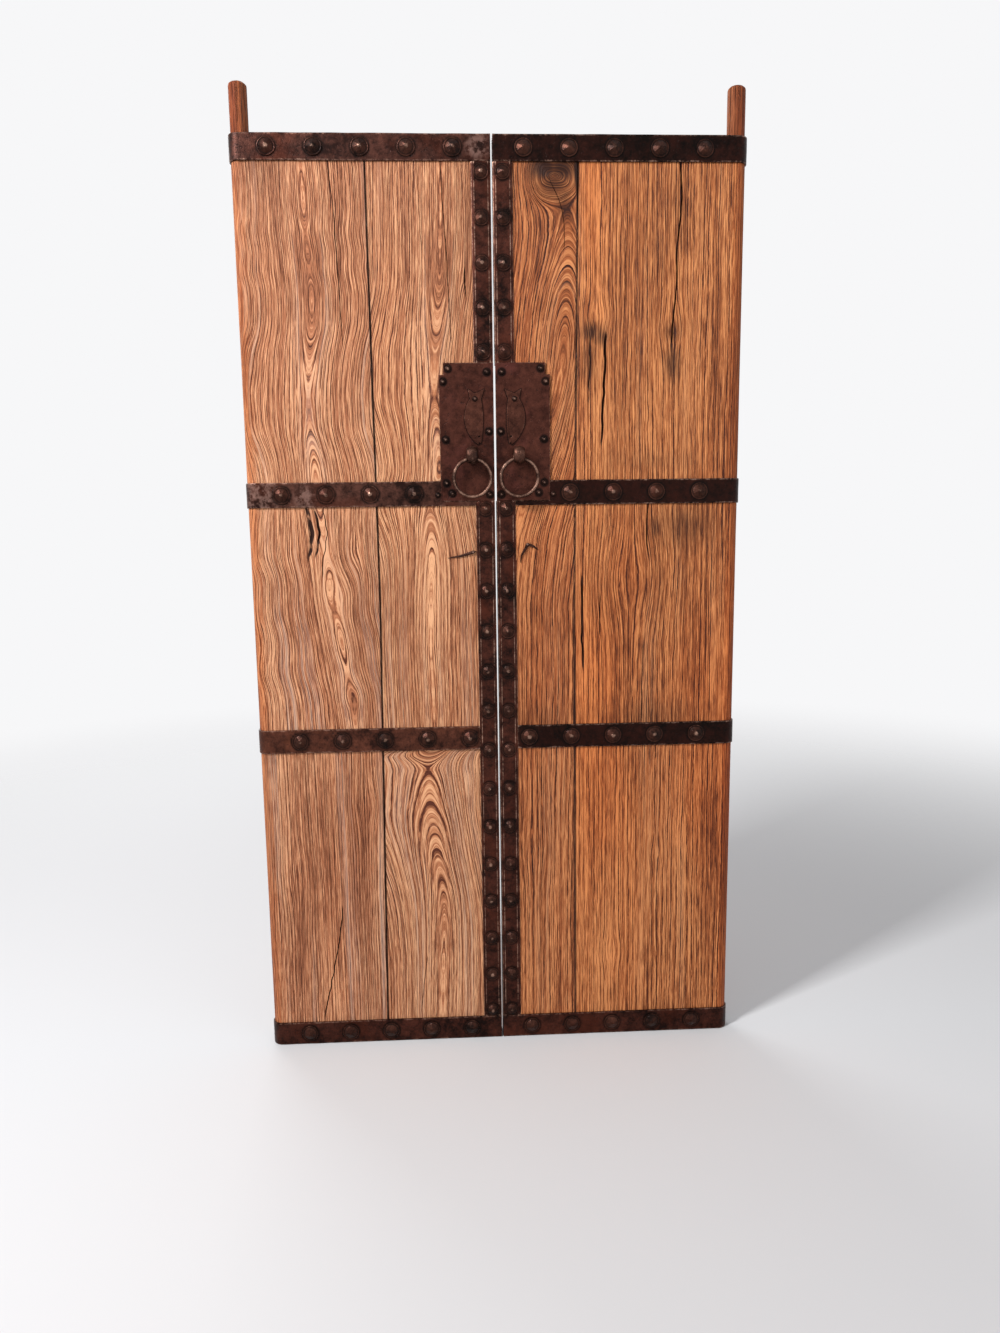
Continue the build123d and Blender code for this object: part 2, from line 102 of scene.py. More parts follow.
class Shader:
    """The node tree of a material or world, with short names for the nodes that it uses."""

    def __init__(self, owner):
        owner.use_nodes = True
        self.owner, self.tree = owner, owner.node_tree
        self.tree.nodes.clear()

    def node(self, kind, settings=None, inputs=None, output=0):
        """Add a node with its settings and inputs, and return one of its outputs."""
        made = self.tree.nodes.new(kind)
        for key, value in (settings or {}).items():
            setattr(made, key, value)
        for key, value in (inputs or {}).items():
            if isinstance(value, Wire):
                self.tree.links.new(value.socket, made.inputs[key])
            else:
                made.inputs[key].default_value = value
        return Wire(self, made.outputs[output]) if made.outputs else None

    def maths(self, operation, *values):
        """The result of a Math node."""
        return self.node("ShaderNodeMath", {"operation": operation}, dict(enumerate(values)))

    def attribute(self, name, output="Vector"):
        """Values stored with the mesh."""
        return self.node("ShaderNodeAttribute", {"attribute_name": name}, output=output)

    def place(self):
        """The place on the object, in metres."""
        return self.node("ShaderNodeTexCoord", output="Object")

    def split(self, vector):
        """The three parts of a vector."""
        made = self.node("ShaderNodeSeparateXYZ", inputs={0: vector})
        outputs = made.socket.node.outputs
        return [Wire(self, outputs[i]) for i in range(3)]

    def join(self, x, y, z):
        """A vector from its three parts."""
        return self.node("ShaderNodeCombineXYZ", inputs={0: x, 1: y, 2: z})

    def length(self, x, y, z):
        """The length of a vector with these parts."""
        return self.node(
            "ShaderNodeVectorMath", {"operation": "LENGTH"}, {0: self.join(x, y, z)}, output="Value"
        )

    def noise(self, vector, scale=1.0, detail=2.0, roughness=0.5):
        """Cloudy values about a half."""
        inputs = {"Vector": vector, "Scale": scale, "Detail": detail, "Roughness": roughness}
        return self.node("ShaderNodeTexNoise", inputs=inputs)

    def step(self, value, low, high):
        """0 below low and 1 above high, eased between; high may be the smaller."""
        return self.node(
            "ShaderNodeMapRange", {"interpolation_type": "SMOOTHSTEP"},
            {0: value, 1: low, 2: high, 3: 0.0, 4: 1.0},
        )

    def ramp(self, value, stops):
        """A colour that runs through stops (position, colour) as the value rises."""
        made = self.node("ShaderNodeValToRGB", inputs={0: value})
        elements = made.socket.node.color_ramp.elements
        while len(elements) < len(stops):
            elements.new(1.0)
        for element, (position, colour) in zip(elements, stops):
            element.position, element.color = position, (*colour, 1.0)
        return made

    def mix(self, share, first, second, blend="MIX"):
        """A mix of two colours, given as wires or as linear RGB."""
        first, second = (c if isinstance(c, Wire) else (*c, 1.0) for c in (first, second))
        return self.node(
            "ShaderNodeMix", {"data_type": "RGBA", "blend_type": blend},
            {0: share, 6: first, 7: second}, output=2,
        )

    def surface(self, colour, roughness, height, relief, specular, metallic=0.0):
        """Finish the material: its colour and gloss, and a bump as deep as its relief."""
        normal = self.node(
            "ShaderNodeBump", inputs={"Strength": 1.0, "Distance": relief, "Height": height}
        )
        made = self.node("ShaderNodeBsdfPrincipled", inputs={
            "Base Color": colour, "Roughness": roughness, "Metallic": metallic, "Normal": normal,
            "Specular IOR Level": specular,
        })
        self.node("ShaderNodeOutputMaterial", inputs={"Surface": made})
        return self.owner


def shade(screen):
    """A linear colour from its values of 0 to 255 on a screen."""
    return tuple(
        c / 12.92 if c <= 0.04045 else ((c + 0.055) / 1.055) ** 2.4
        for c in (value / 255 for value in screen)
    )


# Materials

# How far from the seam the outer edges start to be browned by hands, and are wholly
BROWNED = (0.487, 0.508)


def wood(name, tones, weathering, warmth, on_planks=True, rings=1.35, bite=1.3):
    """Open-grained wood. Its tones are light, middle, dark and weathered grey. On planks the
    grain follows the rings stored with the mesh; on battens it runs along x. More rings are a
    finer grain, and a larger bite is a stronger one."""
    s = Shader(bpy.data.materials.new(name))
    light, middle, dark, grey = (shade(tone) for tone in tones)
    if on_planks:
        across, shade_and_stain, along = s.split(s.attribute("grain"))
        across = across * rings
    else:
        along, depth, up = s.split(s.place())
        across, shade_and_stain = up + depth * 0.7, None

    def noise(width, length, detail=2.0, roughness=0.5):
        """Noise drawn out along the grain; width and length are how many to the metre."""
        return s.noise(s.join(across * width, 0.0, along * length), 1.0, detail, roughness)

    wander = (noise(26.0, 5.0, 3.0) - 0.5) * 0.0035
    wander = wander + (noise(110.0, 40.0, 4.0, 0.6) - 0.5) * 0.0036
    drift = noise(13.0, 0.9)
    dash = noise(480.0, 24.0, 3.0, 0.6)
    dark_dash, light_dash = s.step(dash, 0.50, 0.66), s.step(dash, 0.48, 0.34)

    def ring_lines(count, sway, rise, fall, patch, shown):
        """Dark lines of growth rings, count to the metre, that fade out in patches."""
        line = s.maths("FRACT", (across + wander) * count + drift * sway)
        line = s.step(line, *rise) * s.step(line, 1.0, fall)
        return line * s.step(noise(*patch, 3.0), *shown)

    bold = ring_lines(112.0, 4.0, (0.72, 0.91), 0.95, (75.0, 1.8), (0.34, 0.60))
    bold = bold * (0.85 - light_dash * 0.55 + dark_dash * 0.4)
    bold = bold * (0.5 + s.step(across, 0.004 * rings, 0.028 * rings) * 0.5)
    fine = ring_lines(265.0, 9.0, (0.46, 0.84), 0.90, (140.0, 3.0), (0.36, 0.62))
    fine = fine * (1.0 - light_dash * 0.7)
    fibre = noise(950.0, 14.0, 3.0, 0.7)
    thread, pale = s.step(fibre, 0.50, 0.64), s.step(fibre, 0.49, 0.36)
    streak = noise(190.0, 1.6, 4.0, 0.7)
    cloud = noise(8.0, 1.3, 4.0)

    darkness = bold * 0.74 + fine * 0.40 + thread * 0.20 + s.step(streak, 0.42, 0.66) * 0.28
    darkness = darkness + dark_dash * 0.20 - light_dash * 0.15 - pale * 0.14
    darkness = (darkness + (cloud - 0.5) * 0.70) * bite + 0.24 - bite * 0.12
    colour = s.ramp(darkness, [(0.0, light), (0.38, middle), (1.0, dark)])
    weather = s.step(noise(24.0, 0.8, 3.0), 0.50, 0.68) * weathering
    colour = s.mix(weather * s.step(streak, 0.58, 0.40), colour, grey)
    glow = s.step(noise(5.0, 0.8), 0.45, 0.70) * warmth
    colour = s.mix(glow, colour, (1.0, 0.66, 0.40), "MULTIPLY")
    if shade_and_stain:
        out = s.maths("ABSOLUTE", s.split(s.place())[0])
        edge = s.step(out + (dash - 0.5) * 0.02 + (streak - 0.5) * 0.02, *BROWNED)
        colour = s.mix(edge * 0.7, colour, (0.76, 0.46, 0.24), "MULTIPLY")
        # Cracks and the joint darken as painted shade, knots and stains by their own darker colour.
        soil_and_painted_shade = shade_and_stain * (1.0 + (streak - 0.5) * 1.3 + (dash - 0.5) * 0.9)
        colour = s.mix(s.step(soil_and_painted_shade, 0.02, 0.58), colour, shade((46, 20, 10)))
    roughness = 0.60 + thread * 0.18 + (streak - 0.5) * 0.2
    height = 1.0 - bold * 0.75 - fine * 0.45 - thread * 0.25 - streak * 0.35 - dark_dash * 0.2
    return s.surface(colour, roughness, height, 1.3 * MM, specular=0.22)


def end_grain(name, light, dark):
    """The sawn ends of the planks, with arcs of rings."""
    s = Shader(bpy.data.materials.new(name))
    x, y, _ = s.split(s.place())
    arcs = s.node(
        "ShaderNodeTexWave", {"wave_type": "RINGS", "rings_direction": "Z", "wave_profile": "SAW"},
        {"Vector": s.join(x + 0.31, y + 0.12, 0.0), "Scale": 36.0, "Distortion": 2.5, "Detail": 3.0},
        output="Fac",
    )
    grit = s.noise(s.place(), 700.0, 3.0)
    colour = s.ramp(arcs * 0.5 + grit * 0.6, [(0.2, shade(light)), (0.9, shade(dark))])
    return s.surface(colour, 0.8, grit - arcs * 0.4, 0.6 * MM, specular=0.3)


def iron(name, dark, light, rust, roughness, patches=()):
    """Forged iron, browned and waxed. The mesh says where it is worn, and where it is dirty and
    darkened with painted shade;
    patches are places (x, z) with a radius where the scale has gone."""
    s = Shader(bpy.data.materials.new(name))
    place = s.place()
    # Positive values say how rubbed the iron is, negative ones how dark with dirt and painted shade.
    worn = s.attribute("wear_and_shade", "Fac")
    cloud = s.noise(place, 13.0, 6.0, 0.66)
    mottle = s.noise(place, 70.0, 5.0, 0.68)
    grit = s.noise(place, 420.0, 3.0, 0.6)
    pits = s.step(s.noise(place, 230.0), 0.62, 0.74)
    tone = cloud * 0.85 + mottle * 0.75 - 0.30 + (grit - 0.5) * 0.3
    colour = s.ramp(tone, [(0.34, shade(dark)), (0.74, shade(light))])
    redness = s.step(s.noise(place, 8.0, 6.0, 0.66), 0.50, 0.66)
    colour = s.mix(redness * 0.5, colour, shade(rust))
    colour = s.mix(pits * 0.6, colour, (0.012, 0.007, 0.006))
    x, _, z = s.split(place)
    for at_x, at_z, radius in patches:
        away = s.length(x - at_x, 0.0, z - at_z)
        bare = s.step(away, radius, radius * 0.35) * s.step(mottle, 0.42, 0.60)
        colour = s.mix(bare * 0.5, colour, shade((140, 108, 98)))
    rubbed = s.step(worn * 1.1 + (mottle - 0.5) * 1.6 + (grit - 0.5) * 0.8, 0.45, 1.15)
    colour = s.mix(rubbed * 0.75, colour, shade((166, 130, 112)))
    # Negative values darken towards black: dirt with painted shade round heads, in grooves, low on
    # domes and round covers.
    colour = s.mix(s.step(worn, 0.0, -0.8) * 0.85, colour, (0.004, 0.002, 0.0015))
    gloss = roughness + (mottle - 0.5) * 0.55 + (grit - 0.5) * 0.2 - rubbed * 0.12
    height = mottle * 0.7 + cloud * 0.5 + grit * 0.2 - pits * 0.3
    return s.surface(colour, gloss, height, 1.2 * MM, specular=0.25, metallic=0.75)


# Mesh building

# Size of a table of random values, and the half width over which a course's corners are rounded
TABLE = 256
CORNER_STEP = 9 * MM


def smooth(value):
    """0 below 0 and 1 above 1, eased between."""
    value = np.clip(value, 0.0, 1.0)
    return value * value * (3 - 2 * value)


@cache
def dice_table(seed):
    """A table of random values from -1 to 1."""
    return np.random.RandomState(seed).uniform(-1, 1, (TABLE, TABLE))


def drift(x, z, seed):
    """Random values from -1 to 1 at whole steps of x and z, eased between them."""
    table = dice_table(seed)
    x, z = np.broadcast_arrays(np.asarray(x, float), np.asarray(z, float))
    column, row = np.floor(x).astype(int), np.floor(z).astype(int)
    right, up = smooth(x - column), smooth(z - row)
    column, row = column % TABLE, row % TABLE
    beside, above = (column + 1) % TABLE, (row + 1) % TABLE
    low = table[column, row] * (1 - right) + table[beside, row] * right
    high = table[column, above] * (1 - right) + table[beside, above] * right
    return low * (1 - up) + high * up


def dents(x, z, seed):
    """The same as drift gives, but from 0 to 1."""
    return 0.5 + 0.5 * drift(x, z, seed)


def curve_through(points, z):
    """Values at heights z of a line through points (z, value), rounded at its corners."""
    points = sorted(points)
    spread = [np.interp(z + CORNER_STEP * k, *zip(*points)) for k in (-2, -1, 0, 1, 2)]
    return sum(spread) / len(spread)


def circle(steps):
    """Angles once round, the first again as the last."""
    return np.linspace(0, 2 * pi, steps + 1)


def stacked(x, y, z):
    """One array of points, or of other threes, from arrays of their parts."""
    return np.stack(np.broadcast_arrays(x, y, z), 2)


def columns_of(section):
    """A row of values for each thing that the points of a section say."""
    return (np.array(values)[None, :] for values in zip(*section))


def skin(place, layer_name, stored, close_ring=False):
    """A closed skin from an array of places [row along][column round, one][xyz]. The first and
    last columns meet, and so do the rows of a ring; otherwise both ends are capped. The
    stored numbers or threes go into a layer of the vertices."""
    rows, columns = place.shape[:2]
    stored = np.asarray(stored, float)
    bm = bmesh.new()
    if stored.ndim == 3:
        layers, stored = bm.verts.layers.float_vector, stored.reshape(-1, 3)
    else:
        layers, stored = bm.verts.layers.float, np.broadcast_to(stored, (rows, columns)).ravel()
    layers.new(layer_name)
    bmesh.ops.create_grid(bm, x_segments=columns - 1, y_segments=rows - 1, size=0.5)
    layer = layers[layer_name]
    for vert, point, value in zip(bm.verts, place.reshape(-1, 3), stored):
        vert.co = point
        vert[layer] = value
    seam = [v for i, v in enumerate(bm.verts) if close_ring or i % columns in (0, columns - 1)]
    bmesh.ops.remove_doubles(bm, verts=seam, dist=1e-6)
    if not close_ring:
        bmesh.ops.holes_fill(bm, edges=[e for e in bm.edges if e.is_boundary])
    bmesh.ops.recalc_face_normals(bm, faces=bm.faces)
    return bm


def as_mesh(name, bm, materials=()):
    """A mesh from a bmesh, which is used up."""
    mesh = bpy.data.meshes.new(name)
    bm.to_mesh(mesh)
    bm.free()
    for material in materials:
        mesh.materials.append(material)
    return mesh


def placed(name, data):
    """An object in the scene, at the origin."""
    made = bpy.data.objects.new(name, data)
    bpy.context.scene.collection.objects.link(made)
    return made


def piece(name, bm, materials, body, node, slot, sharp=40):
    """Turn a bmesh into an object that rides on a body and stands for a CAD node."""
    mesh = as_mesh(name, bm, materials)
    mesh.shade_smooth()
    mesh.set_sharp_from_angle(angle=radians(sharp))
    made = placed(name, mesh)
    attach(made, body)
    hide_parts(node)


def joined(meshes):
    """One bmesh from several, which are used up."""
    whole = bmesh.new()
    whole.verts.layers.float.new("wear_and_shade")
    for bm in meshes:
        mesh = as_mesh("part", bm)
        whole.from_mesh(mesh)
        bpy.data.meshes.remove(mesh)
    return whole


def soften(bm, edges, size):
    """Round some edges over, and return the vertices that this made."""
    made = bmesh.ops.bevel(
        bm, geom=edges, offset=size, offset_type="OFFSET", segments=2, profile=0.5,
        affect="EDGES", material=-1, clamp_overlap=True,
    )
    return made["verts"]


def merged_copy(node):
    """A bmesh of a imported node, with its vertices merged."""
    bm = bmesh.new()
    bm.from_mesh(frame["nodes"][node].data)
    bmesh.ops.remove_doubles(bm, verts=bm.verts, dist=1e-6)
    return bm


def copy_of(node, edge):
    """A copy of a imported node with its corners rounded."""
    bm = merged_copy(node)
    bmesh.ops.dissolve_limit(bm, angle_limit=radians(1), verts=bm.verts, edges=bm.edges)
    bm.verts.layers.float.new("wear_and_shade")
    sharp = [e for e in bm.edges if len(e.link_faces) == 2 and e.calc_face_angle(0) > radians(30)]
    soften(bm, sharp, edge)
    bmesh.ops.recalc_face_normals(bm, faces=bm.faces)
    return bm


# Planks

# Steps of the mesh along and across a plank, its rounded corners and the gap at its joint
ROW_STEP, COLUMN_STEP = 6.5 * MM, 2.0 * MM
CORNER = 1.6 * MM
ROUNDED = [(CORNER * (1 - sin(a)), CORNER * (1 - cos(a)), a) for a in (pi / 6, pi / 3, pi / 2)]
JOINT_GAP = 1.0 * MM
POST_BEVEL = 6 * MM
# Columns beside a crack, in half widths of it, and how far it bends the grain beside it
CRACK_COLUMNS = (-2.0, -1.15, -0.55, 0.0, 0.55, 1.15, 2.0)
CRACK_REACH = 30 * MM
# How wide a heart bends the grain, how flat its arches are and when it counts as deep
HEART_REACH = 60 * MM
FLAME = 15 * MM
DEEP_HEART = 45 * MM
# How far painted shade reaches beside a joint
JOINT_SHADE_REACH = 1.9 * MM
# How far round a plank's edge its grain calms down
CALM_REACH = 60 * MM
# The push from which a knot has rings of its own
ROUND_KNOT = 0.85
# How far a plank's arches lean to one side, where it isn't the usual
USUAL_LEANING = 0.45
LEANING = {"right_inner": -0.05}
# Height under the third strap, below which a plank's grain is straight, and where it counts from
STRAIGHT = {"left_outer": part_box("left_strap_third")[0].z + 0.5 * strap_width}
STRAIGHT_FROM = -0.585

# Course of the joint between the two planks of each leaf: (height, x)
JOINTS = {
    "left": [(0.0, -0.262), (1.0, -0.2495), (1.936, -0.254)],
    "right": [(0.0, 0.168), (1.0, 0.166), (1.936, 0.175)],
}
# Course of the heart behind each plank: (height, x, distance behind the face)
HEARTS = {
    "left_inner": [
        (1.94, -0.100, 0.004), (1.75, -0.104, 0.005), (1.66, -0.107, 0.008), (1.60, -0.110, 0.017),
        (1.52, -0.112, 0.026), (1.42, -0.114, 0.028), (1.34, -0.115, 0.018), (1.27, -0.116, 0.012),
        (1.21, -0.128, 0.030), (1.16, -0.133, 0.020), (1.10, -0.136, 0.010), (1.04, -0.140, 0.004),
        (0.90, -0.144, 0.002), (0.698, -0.138, 0.004), (0.652, -0.128, 0.058), (0.62, -0.126, 0.053),
        (0.554, -0.127, 0.046), (0.50, -0.126, 0.037), (0.44, -0.129, 0.028), (0.346, -0.124, 0.016),
        (0.29, -0.126, 0.010), (0.20, -0.130, 0.004), (0.0, -0.138, 0.003),
    ],
    "left_outer": [
        (1.94, -0.380, 0.014), (1.87, -0.380, 0.004), (1.80, -0.379, 0.002), (1.745, -0.376, 0.013),
        (1.72, -0.374, 0.006), (1.67, -0.371, 0.012), (1.64, -0.370, 0.004), (1.58, -0.371, 0.006),
        (1.52, -0.374, 0.018), (1.44, -0.377, 0.024), (1.36, -0.378, 0.022), (1.30, -0.376, 0.010),
        (1.25, -0.374, 0.004), (1.18, -0.366, 0.014), (1.10, -0.355, 0.018), (1.05, -0.349, 0.008),
        (0.98, -0.342, 0.012), (0.92, -0.334, 0.003), (0.86, -0.324, 0.012), (0.80, -0.314, 0.005),
        (0.70, -0.308, 0.008), (0.0, -0.305, 0.008),
    ],
    "right_inner": [
        (1.94, 0.136, 0.056), (1.84, 0.142, 0.056), (1.76, 0.150, 0.052), (1.70, 0.152, 0.042),
        (1.64, 0.150, 0.029), (1.59, 0.149, 0.018), (1.54, 0.146, 0.008), (1.50, 0.142, 0.003),
        (1.44, 0.132, 0.002), (1.38, 0.116, 0.002), (1.26, 0.075, 0.006), (1.14, 0.042, 0.010),
        (1.0, 0.026, 0.014), (0.0, 0.020, 0.014),
    ],
    "right_outer": [(1.94, 0.800, 0.20), (0.0, 0.806, 0.20)],
}
# Knots that push the grain aside: (x, height, half width, half height, push, darkness)
KNOTS = {
    "left_inner": [(-0.062, 1.665, 0.012, 0.050, 0.7, 0.1), (-0.075, 0.62, 0.025, 0.050, 0.5, 0.0)],
    "left_outer": [
        (-0.335, 1.020, 0.030, 0.040, 0.7, 0.12), (-0.296, 1.105, 0.026, 0.045, 0.75, 0.0),
        (-0.318, 0.800, 0.022, 0.030, 0.8, 0.14), (-0.455, 0.400, 0.030, 0.080, 0.4, 0.0),
        (-0.295, 0.560, 0.024, 0.050, 0.6, 0.06),
    ],
    "right_inner": [(0.128, 1.858, 0.050, 0.062, 0.93, 0.12), (0.080, 0.45, 0.030, 0.080, 0.4, 0.0)],
    "right_outer": [
        (0.290, 1.045, 0.060, 0.090, 0.75, 0.05), (0.372, 0.905, 0.014, 0.020, 0.7, 0.12),
        (0.350, 0.43, 0.016, 0.025, 0.7, 0.08), (0.250, 0.20, 0.022, 0.035, 0.7, 0.16),
        (0.215, 1.590, 0.026, 0.034, 0.7, 0.06), (0.372, 1.560, 0.024, 0.045, 0.6, 0.05),
    ],
}
# Soft stains, and darker bands along the straps' edges: (x, height, half width, half height,
# strength)
STAINS = {
    "left_inner": [(-0.12, 1.90, 0.12, 0.03, 0.16), (-0.10, 0.04, 0.15, 0.05, 0.14)],
    "left_outer": [
        (-0.46, 1.88, 0.07, 0.08, 0.20), (-0.33, 0.045, 0.10, 0.04, 0.14),
        (-0.305, 0.60, 0.05, 0.12, 0.13),
    ],
    "right_inner": [
        (0.106, 1.872, 0.036, 0.028, 0.60), (0.142, 1.872, 0.040, 0.030, 0.54),
        (0.124, 1.842, 0.042, 0.030, 0.42), (0.147, 1.805, 0.022, 0.045, 0.36),
        (0.09, 0.74, 0.10, 0.05, 0.24),
    ],
    "right_outer": [
        (0.202, 1.556, 0.028, 0.024, 0.46), (0.222, 1.545, 0.020, 0.026, 0.46),
        (0.198, 1.500, 0.026, 0.060, 0.30),
        (0.370, 1.555, 0.026, 0.030, 0.34), (0.372, 1.492, 0.024, 0.042, 0.42),
        (0.385, 1.79, 0.035, 0.12, 0.22),
        (0.34, 1.72, 0.06, 0.20, 0.14), (0.33, 0.745, 0.17, 0.040, 0.26),
        (0.41, 1.16, 0.09, 0.060, 0.32), (0.340, 1.155, 0.014, 0.034, 0.36),
        (0.33, 1.295, 0.14, 0.030, 0.20),
        (0.36, 0.05, 0.17, 0.05, 0.16), (0.255, 0.98, 0.05, 0.10, 0.14),
    ],
}
# Cracks: course (height, x) from the top down, width, depth, roughness of the walls
CRACKS = {
    "left_outer": [
        ([(1.90, -0.332), (1.80, -0.321), (1.67, -0.317), (1.52, -0.312)], 1.7, 5.0, 0.2),
        ([(1.215, -0.402), (1.17, -0.399), (1.13, -0.397), (1.085, -0.401)], 6.5, 4.5, 1.4),
        ([(1.21, -0.391), (1.17, -0.386), (1.13, -0.387), (1.09, -0.394)], 3.6, 5.0, 1.0),
        ([(1.215, -0.380), (1.18, -0.374), (1.12, -0.378), (1.04, -0.381)], 1.5, 2.2, 0.6),
        ([(0.33, -0.348), (0.311, -0.349), (0.224, -0.361), (0.045, -0.400)], 2.0, 4.5, 0.2),
    ],
    "left_inner": [
        ([(1.69, -0.058), (1.65, -0.0585), (1.61, -0.057)], 3.0, 6.0, 0.2),
        ([(1.90, -0.156), (1.80, -0.153), (1.70, -0.150)], 1.0, 3.0, 0.2),
        ([(1.90, -0.103), (1.80, -0.100), (1.70, -0.094), (1.52, -0.088)], 1.5, 3.5, 0.3),
        ([(0.21, -0.165), (0.05, -0.184)], 1.3, 3.0, 0.2),
    ],
    "right_inner": [
        ([(1.86, 0.108), (1.803, 0.137), (1.77, 0.143), (1.70, 0.143)], 1.3, 3.0, 0.3),
    ],
    "right_outer": [
        (
            [(1.90, 0.379), (1.84, 0.3845), (1.80, 0.3855), (1.72, 0.3765), (1.66, 0.3795),
             (1.57, 0.3705), (1.51, 0.368)],
            3.4, 7.0, 0.9,
        ),
        ([(1.558, 0.2295), (1.48, 0.2285), (1.40, 0.2265), (1.315, 0.2225)], 5.2, 8.0, 0.5),
        ([(1.55, 0.1985), (1.46, 0.1975), (1.37, 0.1975)], 3.0, 2.2, 1.5),
        ([(1.22, 0.3265), (1.16, 0.3225), (1.12, 0.3245), (1.085, 0.3275)], 3.0, 5.0, 0.6),
        ([(0.91, 0.315), (0.82, 0.314), (0.72, 0.315)], 1.3, 4.0, 0.2),
        ([(1.06, 0.185), (1.0, 0.187), (0.93, 0.186), (0.84, 0.190)], 5.0, 5.0, 1.0),
        ([(1.02, 0.229), (0.97, 0.228), (0.91, 0.227)], 2.2, 5.0, 0.3),
        ([(1.90, 0.272), (1.75, 0.271), (1.60, 0.270)], 0.9, 2.0, 0.1),
    ],
}


def nearness(x, z, at_x, at_z, wide, tall):
    """1 at a place, falling to nothing beyond its half width and half height."""
    return np.exp(-(((x - at_x) / wide) ** 2) - ((z - at_z) / tall) ** 2)


def grain_across(name, x, z):
    """The ring coordinate of points on a plank's face, in metres."""
    heart = HEARTS[name]
    x = x + 2.0 * MM * drift(x * 9, z * 1.9, 11) + 1.0 * MM * drift(x * 45, z * 11, 12)
    for at_x, at_z, wide, tall, push, _ in KNOTS[name]:
        x = x - (x - at_x) * min(push, 0.6) * nearness(x, z, at_x, at_z, wide, tall)
    heart_x = curve_through([(h, at) for h, at, _ in heart], z)
    behind = curve_through([(h, deep) for h, _, deep in heart], z)
    usual = float(np.mean([at for _, at, _ in heart]))
    reach = HEART_REACH + 1.5 * np.abs(heart_x - usual)
    beside = x - usual - (heart_x - usual) * np.exp(-(((x - heart_x) / reach) ** 2))
    ring = np.hypot(beside, behind)
    leaning = LEANING.get(name, USUAL_LEANING) * smooth(behind / DEEP_HEART)
    ring = ring * ring / (ring + FLAME) + leaning * beside
    if name in STRAIGHT:
        lean = 6 * MM * drift(x * 6, z * 3.1, 13)
        ring = np.where(z < STRAIGHT[name], x - STRAIGHT_FROM + lean, ring)
    for at_x, at_z, wide, tall, push, _ in KNOTS[name]:
        if push >= ROUND_KNOT:
            near = smooth(1.5 * nearness(x, z, at_x, at_z, wide, tall) - 0.25)
            uneven = 4 * MM * drift(x * 55, z * 50, 14)
            knot = 0.8 * np.hypot(x - at_x, (z - at_z) * wide / tall) + uneven
            ring = ring * (1 - near) + knot * near
    return ring


def soiling(name, x, z):
    """How dark the knots and stains of a plank are."""
    total = np.zeros(np.broadcast(x, z).shape)
    for at_x, at_z, wide, tall, _, darkness in KNOTS[name]:
        away = np.hypot((x - at_x) / (wide * 0.45), (z - at_z) / (tall * 0.45))
        total = total + darkness * smooth(1.3 - away)
    for at_x, at_z, wide, tall, strength in STAINS[name]:
        total = np.maximum(total, strength * nearness(x, z, at_x, at_z, wide, tall))
    return total


def square_edge(share, way, base):
    """Section points of a plank's square edge, from front to back. The way is 1 for the edge
    furthest from the seam and -1 for the nearest, and the base is where it lies."""
    points = []
    for reach, drop, a in ROUNDED:
        points.append((share, -way * reach, front + drop, way * sin(a), -cos(a), base + way * drop))
    points.append((share, 0.0, 0.0, way, 0.0, base + way * edge_radius))
    for reach, drop, a in reversed(ROUNDED):
        round_at = base + way * 2 * edge_radius
        points.append((share, -way * reach, back - drop, way * sin(a), cos(a), round_at))
    return points


